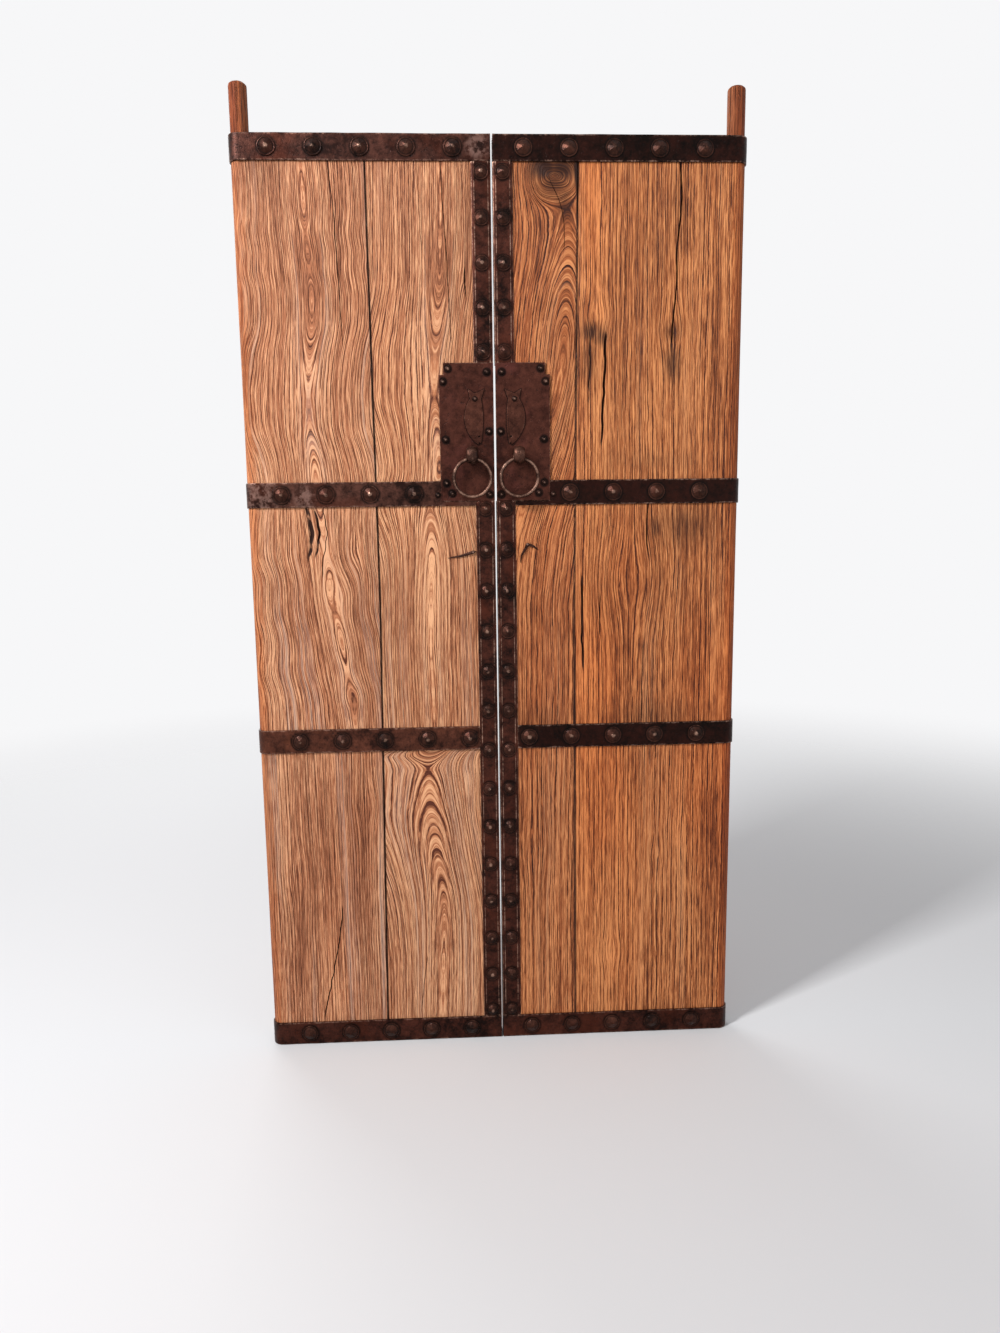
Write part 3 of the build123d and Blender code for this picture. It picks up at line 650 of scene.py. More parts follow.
def plank(name, side, low_course, high_course, round_end, seed):
    """One plank with weathered faces, its cracks open, and its grain, stains and painted shade stored
    with the mesh.
    Courses are (height, x) of its edges nearest to the seam and furthest from it."""
    z = np.linspace(0.0, leaf_top, int(leaf_top / ROW_STEP) + 1)[:, None]
    low, high = side * curve_through(low_course, z), side * curve_through(high_course, z)
    low_base, high_base = float(low.mean()), float(high.mean())
    cracks = CRACKS[name]
    centres = [side * np.mean([x for _, x in course]) for course, _, _, _ in cracks]

    # Columns across the front, closer together where a crack runs
    last = high_base if round_end else high_base - CORNER
    base = [*np.arange(low_base + CORNER, last, COLUMN_STEP), last]
    for centre, (_, width, _, _) in zip(centres, cracks):
        half = width * MM / 2
        base = [b for b in base if abs(b - centre) > 2.6 * half]
        base += [centre + half * offset for offset in CRACK_COLUMNS]

    # Section round the plank: share of the way across, offset, y, normal and distance round
    wide = high_base - low_base
    section = [((b - low_base) / wide, 0.0, front, 0.0, -1.0, b) for b in sorted(base)]
    if round_end:
        for a in np.linspace(0, pi, 23)[1:]:
            offset, y = edge_radius * sin(a), -edge_radius * cos(a)
            section.append((1.0, offset, y, sin(a), -cos(a), high_base + edge_radius * a))
        turned_at = high_base + edge_radius * pi
    else:
        turned_at = high_base + 2 * edge_radius
        section += square_edge(1.0, 1, high_base)
        section.append((1.0, -CORNER, back, 0.0, 1.0, turned_at))
    for b in np.linspace(last, low_base + CORNER, 40)[1:]:
        section.append(((b - low_base) / wide, 0.0, back, 0.0, 1.0, turned_at + high_base - b))
    section += reversed(square_edge(0.0, -1, low_base))
    section.append(section[0])
    share, offset, y, normal_x, normal_y, round_at = columns_of(section)
    on_front = (normal_y < -0.99) & (y <= front + 1e-9)
    on_back = normal_y > 0.99

    # Cracks, which bend the columns beside them
    out = low + share * (high - low) + offset
    shade_and_stain, depth = np.zeros(out.shape), np.zeros(out.shape)
    at = low_base + share * wide
    for centre, (course, width, deep, rough) in zip(centres, cracks):
        path = side * curve_through(course, z)
        pull = np.exp(-(((at - centre) / CRACK_REACH) ** 2)) * on_front
        out = out + pull * (path - centre + 0.5 * MM * drift(z * 60, seed, seed + 5))
        ends = smooth((course[0][0] - z) / 0.03) * smooth((z - course[-1][0]) / 0.05)
        varied = 0.55 * drift(z * 55, 0, seed + 7) + 0.3 * drift(at * 700, z * 90, 3)
        varied = np.clip(1 + rough * varied, 0.15, 1.6)
        wall = smooth(1.25 - np.abs(at - centre) / (width * MM / 2)) * ends * varied * on_front
        depth = depth + deep * MM * wall
        # Crack walls are darkened as painted shade, more in deeper cracks.
        shade_and_stain = np.maximum(shade_and_stain, np.clip(wall * 1.5, 0, 1) * min(1.0, 0.2 + 0.2 * deep))

    # Grain: on the front by its heart and knots, and counted on from there round the plank
    x = side * out
    near, far = grain_across(name, side * low, z), grain_across(name, side * high, z)
    rising = np.mean(far - grain_across(name, side * (high - 4 * MM), z)) > 0
    past = round_at - high_base
    far = far.mean() + (far - far.mean()) * np.exp(-np.abs(past) / CALM_REACH)
    calm = 5 * MM * drift(x * 5, z * 1.3, seed + 6) * smooth(past / CALM_REACH)
    beyond = far + (past if rising else -past) + calm
    before = near + (low_base - round_at)
    elsewhere = np.where(round_at > low_base, beyond, before)
    ring = np.where(on_front, grain_across(name, x, z), elsewhere)

    # Weathered surface, chipped edges, painted shade beside the joint, and knots and stains
    uneven = 0.40 * drift(ring * 210, z * 2.5, seed + 1) + 0.30 * drift(ring * 70, z * 1.6, seed + 2)
    uneven = uneven + 0.25 * drift(x * 22, z * 9, seed + 3) + np.where(on_back, 0.75, 0.62)
    depth = depth + MM * np.clip(uneven, 0.0, 2.0) * np.where(on_front | on_back, 1, 0.45)
    from_edge = np.minimum(np.abs(out - low), np.abs(high - out) + (1.0 if round_end else 0.0))
    chips = smooth(drift(z * 38, 5, seed + 4) * 1.6 - 0.35) * np.exp(-from_edge / (3 * MM))
    depth = depth + 1.6 * MM * chips * on_front
    # Painted shade beside the joint.
    beside_joint = np.abs(out - (low if round_end else high)) / JOINT_SHADE_REACH
    shade_and_stain = np.maximum(shade_and_stain, 0.62 * np.exp(-(beside_joint**2)) * (y < 0))
    shade_and_stain = np.clip(shade_and_stain + soiling(name, x, z) * (y < 0), 0, 1)

    place = stacked(side * (out - normal_x * depth), y - normal_y * depth, z)
    return skin(place, "grain", stacked(ring, shade_and_stain, z))


def post(side, seed):
    """The round post above a leaf's outer plank, rubbed round at its end."""
    shaft = np.linspace(leaf_top + POST_BEVEL, post_top - POST_BEVEL * 1.2, 14)
    profile = [(h, 1.0) for h in (leaf_top - POST_BEVEL, leaf_top, *shaft)]
    for k in (0.8, 0.55, 0.3, 0.1, 0.0):
        profile.append((post_top - POST_BEVEL * k, 1 - 0.33 * (1 - k) ** 1.5))
    z, shrink = (np.array(values)[:, None] for values in zip(*profile))
    angle = circle(48)[None, :]
    ripple = 0.5 * drift(angle * 5, z * 12, seed) + 0.35 * drift(angle * 14, z * 6, seed + 1)
    ripple[:, -1] = ripple[:, 0]
    radius = (post_radius - 0.4 * MM) * shrink - MM * np.clip(0.5 + ripple, 0, 1.2)
    place = stacked(side * post_axis + radius * np.sin(angle), -radius * np.cos(angle), z)
    return skin(place, "grain", stacked(angle * post_radius + 0.7, 0.0, z))


# Iron straps

STRAP_HEAD, EDGE_HEAD, STUD_HEAD = 18.5 * MM, 15.5 * MM, 6.4 * MM
# How far dirt and painted shade reach beside a fastener's head, and the painted shadow line beside a
# cover
SHADE_AND_SOIL_REACH, COVER_SHADE_REACH = 3.2 * MM, 1.7 * MM
# How far a strap's edges waver and its face is dented
STRAP_WAVER, STRAP_DENT = 0.5 * MM, 0.35 * MM
# Where the straps end behind the leaves
return_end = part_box("right_strap_third")[1].x + strap_face - 92 * MM


def strap_path(wraps_seam, extra=()):
    """Points (out, y, normal out, normal y) of a strap's outer face, from the seam or the edge
    strap to its end behind the leaf. Extra are distances that it has points at."""
    path = []
    start = edge_strap_end + 0.2 * MM
    if wraps_seam:
        for depth in np.linspace(back, strap_face + 1.2 * MM, 7):
            path.append((iron_edge, depth, -1.0, 0.0))
        path.append((iron_edge + 0.35 * MM, strap_face + 0.35 * MM, -0.7, -0.7))
        start = iron_edge + 1.2 * MM
    steps = np.linspace(start, post_axis, int((post_axis - start) / (4.5 * MM)))
    for out in sorted([*steps, *extra]):
        path.append((out, strap_face, 0.0, -1.0))
    reach = -strap_face
    for angle in np.linspace(0, pi, 20)[1:]:
        path.append((post_axis + reach * sin(angle), -reach * cos(angle), sin(angle), -cos(angle)))
    for out in np.linspace(post_axis, return_end, 20)[1:]:
        path.append((out, reach, 0.0, 1.0))
    return np.array(path)


def soil_and_painted_shade(x, z, spots, radius):
    """A dark ring round each fastener (x, z) as negative values: dirt beside its head, with painted
    shade where the head meets the surface.
    """
    total = np.zeros(np.broadcast(x, z).shape)
    for at_x, at_z in spots:
        away = (np.hypot(x - at_x, z - at_z) - radius) / SHADE_AND_SOIL_REACH
        total = np.minimum(total, -np.exp(-away * away))
    return total


def band(side, path, bottom, top, seed, spots):
    """A forged band along a path, with heights of its top for each point of the path."""
    rim = [(0.0, 0.9), (0.25, 0.35), (0.9, 0.05), (2.2, 0.0)]
    section = [(0.0, inset * MM, drop * MM, 1) for inset, drop in rim]
    section += [(share, 0.0, 0.0, 0) for share in np.linspace(0, 1, 12)[1:-1]]
    section += [(1.0, -inset * MM, drop * MM, 1) for inset, drop in reversed(rim)]
    section += [(share, 0.0, strap_thickness, 0) for share in (1.0, 0.66, 0.33, 0.0)]
    section.append(section[0])
    share, inset, drop, rimmed = columns_of(section)
    out, y, normal_x, normal_y = (column[:, None] for column in path.T)
    travel = np.concatenate([[0], np.cumsum(np.hypot(*np.diff(path[:, :2], axis=0).T))])[:, None]
    bottom = bottom + STRAP_WAVER * dents(travel * 28, 1, seed)
    top = top[:, None] - STRAP_WAVER * dents(travel * 28, 7, seed + 1)
    z = bottom + share * (top - bottom) + inset
    dent = 0.7 * dents(travel * 45, z * 45, seed + 2) + 0.3 * dents(travel * 110, z * 110, seed + 3)
    ends = np.minimum(travel, travel[-1] - travel)
    on_outside, round_seam = drop < strap_thickness, normal_x < -0.9
    sink = STRAP_DENT * dent + 0.7 * MM * smooth(1 - ends / (1.5 * MM))
    sink = drop + np.where(on_outside, sink, 0.0)
    x = side * np.where(round_seam, out, out - normal_x * sink)
    x = np.where(round_seam & ~on_outside, side * (out + strap_thickness), x)
    wear_and_shade = np.where(rimmed == 1, 0.55, 0.0) + 0.45 * smooth(1 - ends / (3 * MM))
    # Darker round each nail head: dirt with painted shade.
    wear_and_shade = wear_and_shade + 0.8 * soil_and_painted_shade(x, z, spots, STRAP_HEAD) * (y < 0)
    return skin(stacked(x, y - normal_y * sink, z), "wear_and_shade", wear_and_shade)


def edge_strap(side, bottom, top, seed, spots):
    """The angle down the meeting edge, with a sloped strip along each side of its face."""
    slope, strip = 1.4 * MM, 6 * MM
    # The strips: distance from the edge, y behind the face, wear
    near = [
        (0.0, slope + 0.8 * MM, 0.6), (0.25 * MM, slope + 0.2 * MM, 0.95),
        (0.9 * MM, slope - 0.2 * MM, 0.6),
    ]
    far = [
        (0.0, slope + 0.8 * MM, 0.3), (0.2 * MM, slope + 0.2 * MM, 0.8),
        (0.8 * MM, slope - 0.2 * MM, 0.5),
    ]
    shoulder = [
        (strip * 0.55, slope * 0.5, 0.0), (strip - 0.5 * MM, 0.15 * MM, 0.7),
        (strip + 0.3 * MM, 0.0, 0.8),
    ]
    face = [(iron_edge, back, 0.2), (iron_edge, 0.0, 0.2)]
    face += [(iron_edge + inset, strap_face + drop, wear_and_shade) for inset, drop, wear_and_shade in near + shoulder]
    for out in np.linspace(iron_edge + strip + 1.6 * MM, edge_strap_end - strip - 1.6 * MM, 8):
        face.append((out, strap_face, 0.0))
    for inset, drop, wear_and_shade in reversed(far + shoulder):
        face.append((edge_strap_end - inset, strap_face + drop, wear_and_shade))
    face += [(edge_strap_end, front, 0.0), (wood_edge, front, 0.0), (wood_edge, back, 0.0), face[0]]
    out, y, wear_and_shade = columns_of(face)
    z = np.linspace(bottom, top, int((top - bottom) / (4 * MM)) + 1)[:, None]
    on_face = y < front - 0.5 * MM
    dent = 0.35 * dents(out * 60, z * 40, seed) + 0.3 * dents(out * 9, z * 8, seed + 1)
    waver = 0.45 * MM * drift(3, z * 22, seed + 2) * smooth((out - 0.03) / 0.01)
    ends = smooth(1 - np.minimum(z - bottom, top - z) / (1.2 * MM))
    x = side * (out - np.abs(waver) * (out > edge_strap_end - 2 * MM))
    y = y + (dent + 0.6 * ends) * MM * on_face
    # Darker round each nail head: dirt with painted shade.
    wear_and_shade = wear_and_shade + 0.5 * ends + 0.8 * soil_and_painted_shade(x, z, spots, EDGE_HEAD) * on_face
    return skin(stacked(x, y, z), "wear_and_shade", wear_and_shade)


# Fasteners

X_AXIS = (1, 0, 0)
# How far behind the foremost point of a packed head its vertices are still counted as its face
NAIL_FACE, STUD_FACE = 0.5 * MM, 2 * MM
# Vertices closer together than this belong to one head
HEAD_SPACING = 10 * MM
# Facets of a nail head, and the first point of its profile that belongs to its cone
FACETS, FIRST_CONE = 7, 6
CLINCH_LENGTH = 16.5 * MM
# How bright the rims of a row's nails are worn, and how rough the heads are, if not as usual
USUAL_WORN, USUAL_ROUGH = 0.45, 0.6
WORN_NAILS = {
    ("left", "bottom"): 0.75, ("right", "bottom"): 0.75, ("left", "edge"): 0.6,
    ("right", "third"): 0.65, ("left", "middle"): 0.6, ("right", "top"): 0.25,
}
ROUGH_NAILS = {("left", "middle"): 1.5, ("left", "top"): 0.8}


def mm(*values):
    """Lengths given in millimetres."""
    return [value * MM for value in values]


def turned(profile, steps):
    """A closed solid of revolution about y from points (radius, y, wear), the first and last
    on the axis."""
    bm = bmesh.new()
    layer = bm.verts.layers.float.new("wear_and_shade")
    verts = [bm.verts.new((radius, y, 0.0)) for radius, y, _ in profile]
    for vert, (_, _, wear_and_shade) in zip(verts, profile):
        vert[layer] = wear_and_shade
    edges = [bm.edges.new(pair) for pair in zip(verts, verts[1:])]
    bmesh.ops.spin(
        bm, geom=verts + edges, axis=(0, 1, 0), cent=(0, 0, 0), angle=2 * pi, steps=steps,
        use_merge=True, use_duplicate=False,
    )
    bmesh.ops.remove_doubles(bm, verts=bm.verts, dist=1e-6)
    bmesh.ops.recalc_face_normals(bm, faces=bm.faces)
    return bm


def swept(points, widths, thicks, across=X_AXIS, corners=8, wear_and_shade=0.3):
    """A tapered bar through points; its section is wide along the vector across. Widths and
    thicknesses are one number, or one for each point."""
    points, across = np.array(points, float), np.array(across, float)
    tangent = np.gradient(points, axis=0)
    tangent = tangent / np.linalg.norm(tangent, axis=1)[:, None]
    across = across - tangent * (tangent @ across)[:, None]
    across = across / np.linalg.norm(across, axis=1)[:, None]
    other = np.cross(tangent, across)
    angle = circle(corners)[None, :, None] + pi / corners
    wide, thick = (np.reshape(sizes, (-1, 1, 1)) / 2 for sizes in (widths, thicks))
    place = points[:, None, :] + across[:, None, :] * wide * np.cos(angle)
    place = place + other[:, None, :] * thick * np.sin(angle)
    return skin(place, "wear_and_shade", wear_and_shade)


def nail_head(r, h, worn, tip):
    """Profile of a forged head of radius r and height h: a thin rim, a shallow ring, and a cone
    to a blunt point. Worn and tip say how bright the rim and the point are rubbed."""
    return [
        (0.0, 0.3 * MM, 0.0), (r * 0.96, 0.3 * MM, 0.0), (r, -0.10 * h, 0.1),
        (r * 0.985, -0.17 * h, 0.4 * worn), (r * 0.93, -0.20 * h, 0.4 * worn),
        (r * 0.86, -0.17 * h, -0.4), (r * 0.80, -0.17 * h, -0.6), (r * 0.70, -0.30 * h, 0.0),
        # The shallow ring is darkened as painted shade.
        (r * 0.50, -0.56 * h, 0.15), (r * 0.30, -0.80 * h, 0.5 * tip), (r * 0.17, -0.94 * h, tip),
        (r * 0.07, -0.99 * h, tip + 0.1), (0.0, -h, tip + 0.1),
    ]


def faceted(bm, profile):
    """Press the cone of a turned head into flat facets."""
    sector = 2 * pi / FACETS
    radii, heights = zip(*sorted((radius, y) for radius, y, _ in profile[FIRST_CONE:]))
    for vert in bm.verts:
        away = hypot(vert.co.x, vert.co.z)
        if vert.co.y < heights[-1] and away < radii[-1] * 0.99:
            turn = atan2(vert.co.z, vert.co.x) % sector - sector / 2
            vert.co.y = float(np.interp(away * cos(turn), radii, heights))
    return bm


def hammered(bm, at, tilt, turn, seed, rough):
    """Turn, tilt and dent a head, and put it in its place."""
    bmesh.ops.rotate(bm, verts=bm.verts, cent=(0, 0, 0), matrix=Matrix.Rotation(turn, 3, "Y"))
    flat = np.array([(v.co.x, v.co.z) for v in bm.verts])
    bumps = drift(flat[:, 0] * 190 + seed, flat[:, 1] * 190 + seed * 3, 31) * rough
    for vert, bump in zip(bm.verts, bumps):
        x, y, z = vert.co
        lift = min(0.0, y)
        shrink = 1 + bump * 0.035
        tilted = y + bump * 0.11 * abs(lift) - lift * (x * tilt[0] + z * tilt[1])
        vert.co = (x * shrink, tilted, z * shrink)
    bmesh.ops.translate(bm, verts=bm.verts, vec=at)
    return bm


def clinch(x, y, z):
    """The end of a nail behind the leaf, bent upwards and flat to the wood."""
    points = [(x, y - 4 * MM, z), (x, y - 0.5 * MM, z), (x, y + 0.9 * MM, z + 0.6 * MM)]
    for share in (0, 0.4, 0.8, 1):
        up = 2.5 * MM + share * (CLINCH_LENGTH - 4 * MM)
        points.append((x, y + 1.4 * MM - share * 0.5 * MM, z + up))
    widths, thicks = mm(5, 5, 5.2, 5, 4, 2.4, 0.8), mm(5, 4.6, 3.4, 2.8, 2.4, 1.8, 0.7)
    return swept(points, widths, thicks, corners=6)


def heads_of(node, depth):
    """Centres (x, z) of a node's fasteners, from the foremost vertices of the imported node."""
    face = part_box(node)[0].y + depth
    groups = []
    for vert in frame["nodes"][node].data.vertices:
        if vert.co.y < face:
            for group in groups:
                if hypot(group[0].x - vert.co.x, group[0].z - vert.co.z) < HEAD_SPACING:
                    group.append(vert.co)
                    break
            else:
                groups.append([vert.co])
    return sorted(
        tuple((min(v[k] for v in g) + max(v[k] for v in g)) / 2 for k in (0, 2)) for g in groups
    )


def nails(name, row, seed):
    """All nails of one strap or of a meeting edge: heads on the front, clinches behind."""
    node = f"{name}_nails_{row}"
    head_height = strap_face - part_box(node)[0].y
    radius = EDGE_HEAD if row == "edge" else STRAP_HEAD
    rough = ROUGH_NAILS.get((name, row), USUAL_ROUGH)
    dice = np.random.RandomState(seed)
    made = []
    for i, (x, z) in enumerate(heads_of(node, NAIL_FACE)):
        worn = WORN_NAILS.get((name, row), USUAL_WORN) + dice.uniform(-0.1, 0.15)
        size = radius * dice.uniform(0.955, 0.995)
        tip = 0.1 if row == "bottom" else worn + 0.1
        profile = nail_head(size, head_height * dice.uniform(0.86, 0.99), worn, tip)
        head = faceted(turned(profile, 28), profile)
        tilt, turn = dice.uniform(-7, 7, 2), dice.uniform(0, 2 * pi)
        made.append(hammered(head, (x, strap_face, z), tilt, turn, seed + i, rough))
        through_return = row != "edge" and abs(x) > return_end
        made.append(clinch(x, -strap_face if through_return else back, z))
    return joined(made)


def dome(radius, height, sunk=0.3 * MM):
    """Profile of a domed head standing on y = 0, with its foot sunk below that."""
    points = [(0.0, sunk, 0.0), (radius, sunk, 0.2), (radius, -0.12 * height, 0.4)]
    # The lower slope is darkened as painted shade with dirt, and the crown is rubbed lighter.
    for share in np.linspace(0.12, 1.0, 7)[:-1]:
        angle = share * pi / 2
        up = 0.12 + 0.88 * sin(angle)
        points.append((radius * cos(angle), -height * up, -0.5 + 1.5 * share**1.5))
    return [*points, (0.0, -height, 1.0)]


def studs(name, side):
    """The studs of a lock plate, and the one that holds the middle strap beside it."""
    made = []
    dice = np.random.RandomState(40 + side)
    for i, (x, z) in enumerate(heads_of(f"{name}_plate_studs", STUD_FACE)):
        seat = plate_face if abs(x) < plate_end and z > plate_bottom else strap_face
        bm = turned(dome(STUD_HEAD * dice.uniform(0.92, 1.0), 4.3 * MM), 16)
        made.append(hammered(bm, (x, seat, z), dice.uniform(-9, 9, 2), 0.0, i + 50, 0.5))
    return joined(made)


def rivet(name):
    """The rivet on which a cover swings."""
    low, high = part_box(f"{name}_cover_rivet")
    x, z = (low.x + high.x) / 2, (low.z + high.z) / 2
    head = turned(dome(5.8 * MM, 3.9 * MM, 0.0), 18)
    bmesh.ops.translate(head, verts=head.verts, vec=(x, low.y + 4 * MM, z))
    stem = [(x, y, z) for y in (low.y + 3 * MM, plate_face, front + 20 * MM)]
    return joined([head, swept(stem, 6 * MM, 6 * MM, corners=12)])


# Lock plates and covers

NOTCH_WIDTH, NOTCH_HEIGHT = 9.5 * MM, 24 * MM


def fish_cover(name):
    """A fish-shaped cover with rounded edges, rubbed bright along its outline."""
    bm = copy_of(f"{name}_fish_cover", 0.6 * MM)
    layer = bm.verts.layers.float["wear_and_shade"]
    face = [f for f in bm.faces if f.normal.y < -0.99]
    for vert in bm.verts:
        vert[layer] = 0.42
    bmesh.ops.inset_region(
        bm, faces=face, thickness=1.3 * MM, depth=0.0, use_even_offset=True, use_boundary=True
    )
    for vert in {v for f in face for v in f.verts}:
        vert[layer] = 0.0
    bmesh.ops.triangulate(bm, faces=[f for f in bm.faces if len(f.verts) > 4])
    return bm


def cover_outline(name):
    """Points (x, z) along the outline of a closed cover, a millimetre or less apart."""
    bm = merged_copy(f"{name}_fish_cover")
    points = []
    for edge in bm.edges:
        start, end = (vert.co for vert in edge.verts)
        if edge.calc_face_angle(0) > radians(60) and abs(start.y - end.y) < MM / 9:
            for share in np.linspace(0, 1, int(edge.calc_length() / MM) + 2):
                at = start.lerp(end, share)
                points.append((at.x, at.z))
    bm.free()
    return np.array(points)


def lock_plate(name, side, seed):
    """Half of the lock plate: a hammered sheet with soft edges, notched at its upper corner, darkened
    round its studs with dirt and painted shade, and along its cover with a painted shadow line.
    """
    notch_x, notch_z = plate_end - NOTCH_WIDTH, plate_top - NOTCH_HEIGHT
    xs = [*np.linspace(iron_edge, notch_x, 55), *np.linspace(notch_x, plate_end, 6)[1:]]
    zs = [*np.linspace(plate_bottom, notch_z, 130), *np.linspace(notch_z, plate_top, 14)[1:]]
    bm = bmesh.new()
    bmesh.ops.create_grid(bm, x_segments=len(xs) - 1, y_segments=len(zs) - 1, size=0.5)
    places = [(side * x, plate_face, z) for z in zs for x in xs]
    for vert, place in zip(bm.verts, places):
        vert.co = place
    middles = [(f, f.calc_center_median()) for f in bm.faces]
    notch = [f for f, middle in middles if abs(middle.x) > notch_x and middle.z > notch_z]
    bmesh.ops.delete(bm, geom=notch, context="FACES")
    bmesh.ops.recalc_face_normals(bm, faces=bm.faces)
    if bm.faces[:][0].normal.y > 0:
        bmesh.ops.reverse_faces(bm, faces=bm.faces)
    bmesh.ops.solidify(bm, geom=bm.faces[:], thickness=front - plate_face)
    bmesh.ops.recalc_face_normals(bm, faces=bm.faces)
    layer = bm.verts.layers.float.new("wear_and_shade")
    rim = [
        e for e in bm.edges
        if e.calc_face_angle(0) > radians(60) and e.verts[0].co.y < front - 1 * MM
    ]
    for vert in soften(bm, rim, 1.1 * MM):
        vert[layer] = 0.55
    x, z = np.array([(v.co.x, v.co.z) for v in bm.verts]).T
    # Darker round the studs, dirt with painted shade, and along the closed cover's outline, a painted
    # shadow line that is also a patina edge.
    shade_and_soil = soil_and_painted_shade(x, z, heads_of(f"{name}_plate_studs", STUD_FACE), STUD_HEAD)
    outline_x, outline_z = cover_outline(name).T
    away = np.hypot(x[:, None] - outline_x, z[:, None] - outline_z).min(1) / COVER_SHADE_REACH
    shade_and_soil = np.minimum(shade_and_soil, -0.9 * np.exp(-(away**2)))
    sink = 0.5 + 0.3 * drift(x * 34, z * 34, seed) + 0.2 * drift(x * 95, z * 95, seed + 1)
    for vert, darker, lower in zip(bm.verts, shade_and_soil, sink):
        if vert.co.y < front - 2 * MM:
            vert[layer] += float(darker)
        if vert.co.y < front - 1 * MM:
            vert.co.y += 0.55 * MM * lower
    return bm


# Rings and staples

# Staples: distance from the seam, height, and how far each leg's tip lies outwards and upwards
STAPLES = {
    "left": (50 * MM, 1.107, (53 * MM, -14 * MM), (-7 * MM, 2 * MM)),
    "right": (66 * MM, 1.122, (24 * MM, -9 * MM), (-17 * MM, -38 * MM)),
}
# How far a staple's legs wave, as a share of their length
STAPLE_BEND = {"left": 0.035, "right": 0.085}
STAPLE_WIRE, STAPLE_REACH = 6 * MM, 21 * MM


def ring_eye(name, side):
    """The eye of a split pin: a crowned strap bent into a loop, and its legs spread behind."""
    low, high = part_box(f"{name}_ring_eye")
    x, z = (low.x + high.x) / 2, (low.z + high.z) / 2
    half, reach = (high.x - low.x) / 2, (plate_face - low.y) / 2
    thick, crown = 5.4 * MM, 3.6 * MM
    rim = [(1.0, reach - crown - 1.4 * MM), (1.0, reach - thick + 0.5 * MM)]
    outline = [(u, reach - crown * u * u - 0.6 * MM * u**6) for u in np.linspace(-0.97, 0.97, 15)]
    outline += rim + [(u, reach - thick) for u in (0.94, 0.4, -0.4, -0.94)]
    outline += [(-u, r) for u, r in reversed(rim)]
    outline.append(outline[0])
    across, radius = columns_of(outline)
    angle = circle(48)[:, None]
    dent = 0.35 * MM * dents(across * 2.5, angle * 4, 81 + side)
    dent[-1] = dent[0]
    radius = radius - np.where(radius > reach - thick + 1 * MM, dent, 0.0)
    y = low.y + reach - radius * np.cos(angle)
    place = stacked(x + across * half, y, z + radius * np.sin(angle))
    made = [skin(place, "wear_and_shade", 0.42 * (1 - across**2), close_ring=True)]
    stem = (plate_face - 1 * MM, front, 0, back, back + 3.4 * MM)
    made.append(swept([(x, y, z) for y in stem], 10 * MM, 8 * MM))
    for way, length in ((1, high.z - z), (-1, z - low.z)):
        points = [
            (x, back + 1.9 * MM, z), (x, back + 2.1 * MM, z + way * 6 * MM),
            (x + 0.6 * MM, back + 2.0 * MM, z + way * length * 0.5),
            (x - 0.4 * MM, back + 1.7 * MM, z + way * length * 0.8),
            (x, back + 1.2 * MM, z + way * (length - 0.6 * MM)),
        ]
        made.append(swept(points, mm(10, 10, 9.4, 8, 5), mm(3.6, 3.6, 3.2, 2.6, 1.2)))
    return joined(made)


def ring_pull(name, side):
    """A ring forged from rod, a little uneven."""
    low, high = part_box(f"{name}_ring_pull")
    centre = (low + high) / 2
    rod = (high.y - low.y) / 2
    mean = (high.x - low.x) / 2 - rod + 0.15 * MM
    around, angle = circle(96)[:, None], circle(16)[None, :]
    uneven = 0.5 * drift(around * 3.2, 2, 90 + side) + 0.3 * drift(around * 9, angle * 2, 91 + side)
    uneven[-1], uneven[:, -1] = uneven[0], uneven[:, 0]
    thick = rod - MM * np.clip(0.3 + 0.45 * uneven, 0, 0.9)
    radius = mean + thick * np.cos(angle)
    place = stacked(
        centre.x + radius * np.sin(around), centre.y + thick * np.sin(angle),
        centre.z + radius * np.cos(around),
    )
    return skin(place, "wear_and_shade", 0.16 + 0.62 * np.clip(-np.sin(angle), 0, 1) ** 4, close_ring=True)


def staple(name, side):
    """A bar's staple: a rod loop behind the leaf, its two legs bent over on the front."""
    out, z, *legs = STAPLES[name]
    x, half = side * out, STAPLE_WIRE / 2
    around, angle = circle(40)[:, None], circle(12)[None, :]
    radius = STAPLE_REACH * cos(pi / 16) - half + half * np.cos(angle)
    place = stacked(
        x + half * np.sin(angle), back + STAPLE_REACH - radius * np.cos(around),
        z + radius * np.sin(around),
    )
    made = [skin(place, "wear_and_shade", 0.3, close_ring=True)]
    stem = [(x, y, z) for y in (front - 1 * MM, 0.0, back + 1 * MM)]
    made.append(swept(stem, STAPLE_WIRE, STAPLE_WIRE))
    for k, (out, up) in enumerate(legs):
        length = hypot(out, up)
        step = np.array([side * out, up]) / length
        aside = np.array([-step[1], step[0]])
        points, widths, thicks = [], [], []
        for share in np.linspace(0.0, 1.0, 12):
            bend = sin(share * 5.0 + k * 2) * STAPLE_BEND[name] * length * share
            at = np.array([x, z]) + step * share * (length - 0.5 * MM) + aside * bend
            points.append((at[0], front - 1.9 * MM + 1.4 * MM * share, at[1]))
            widths.append(STAPLE_WIRE * (1.2 - 0.95 * share**1.4))
            thicks.append(3.6 * MM * (1 - 0.62 * share))
        made.append(swept(points, widths, thicks, (aside[0], 0, aside[1]), wear_and_shade=0.25))
    crown = [(x, front - y, z) for y in mm(3.6, 2, -1)]
    sizes = [4.4 * MM, STAPLE_WIRE, STAPLE_WIRE]
    made.append(swept(crown, sizes, sizes, wear_and_shade=0.8))
    return joined(made)


# Finishes. Colours are values of 0 to 255 on a screen.

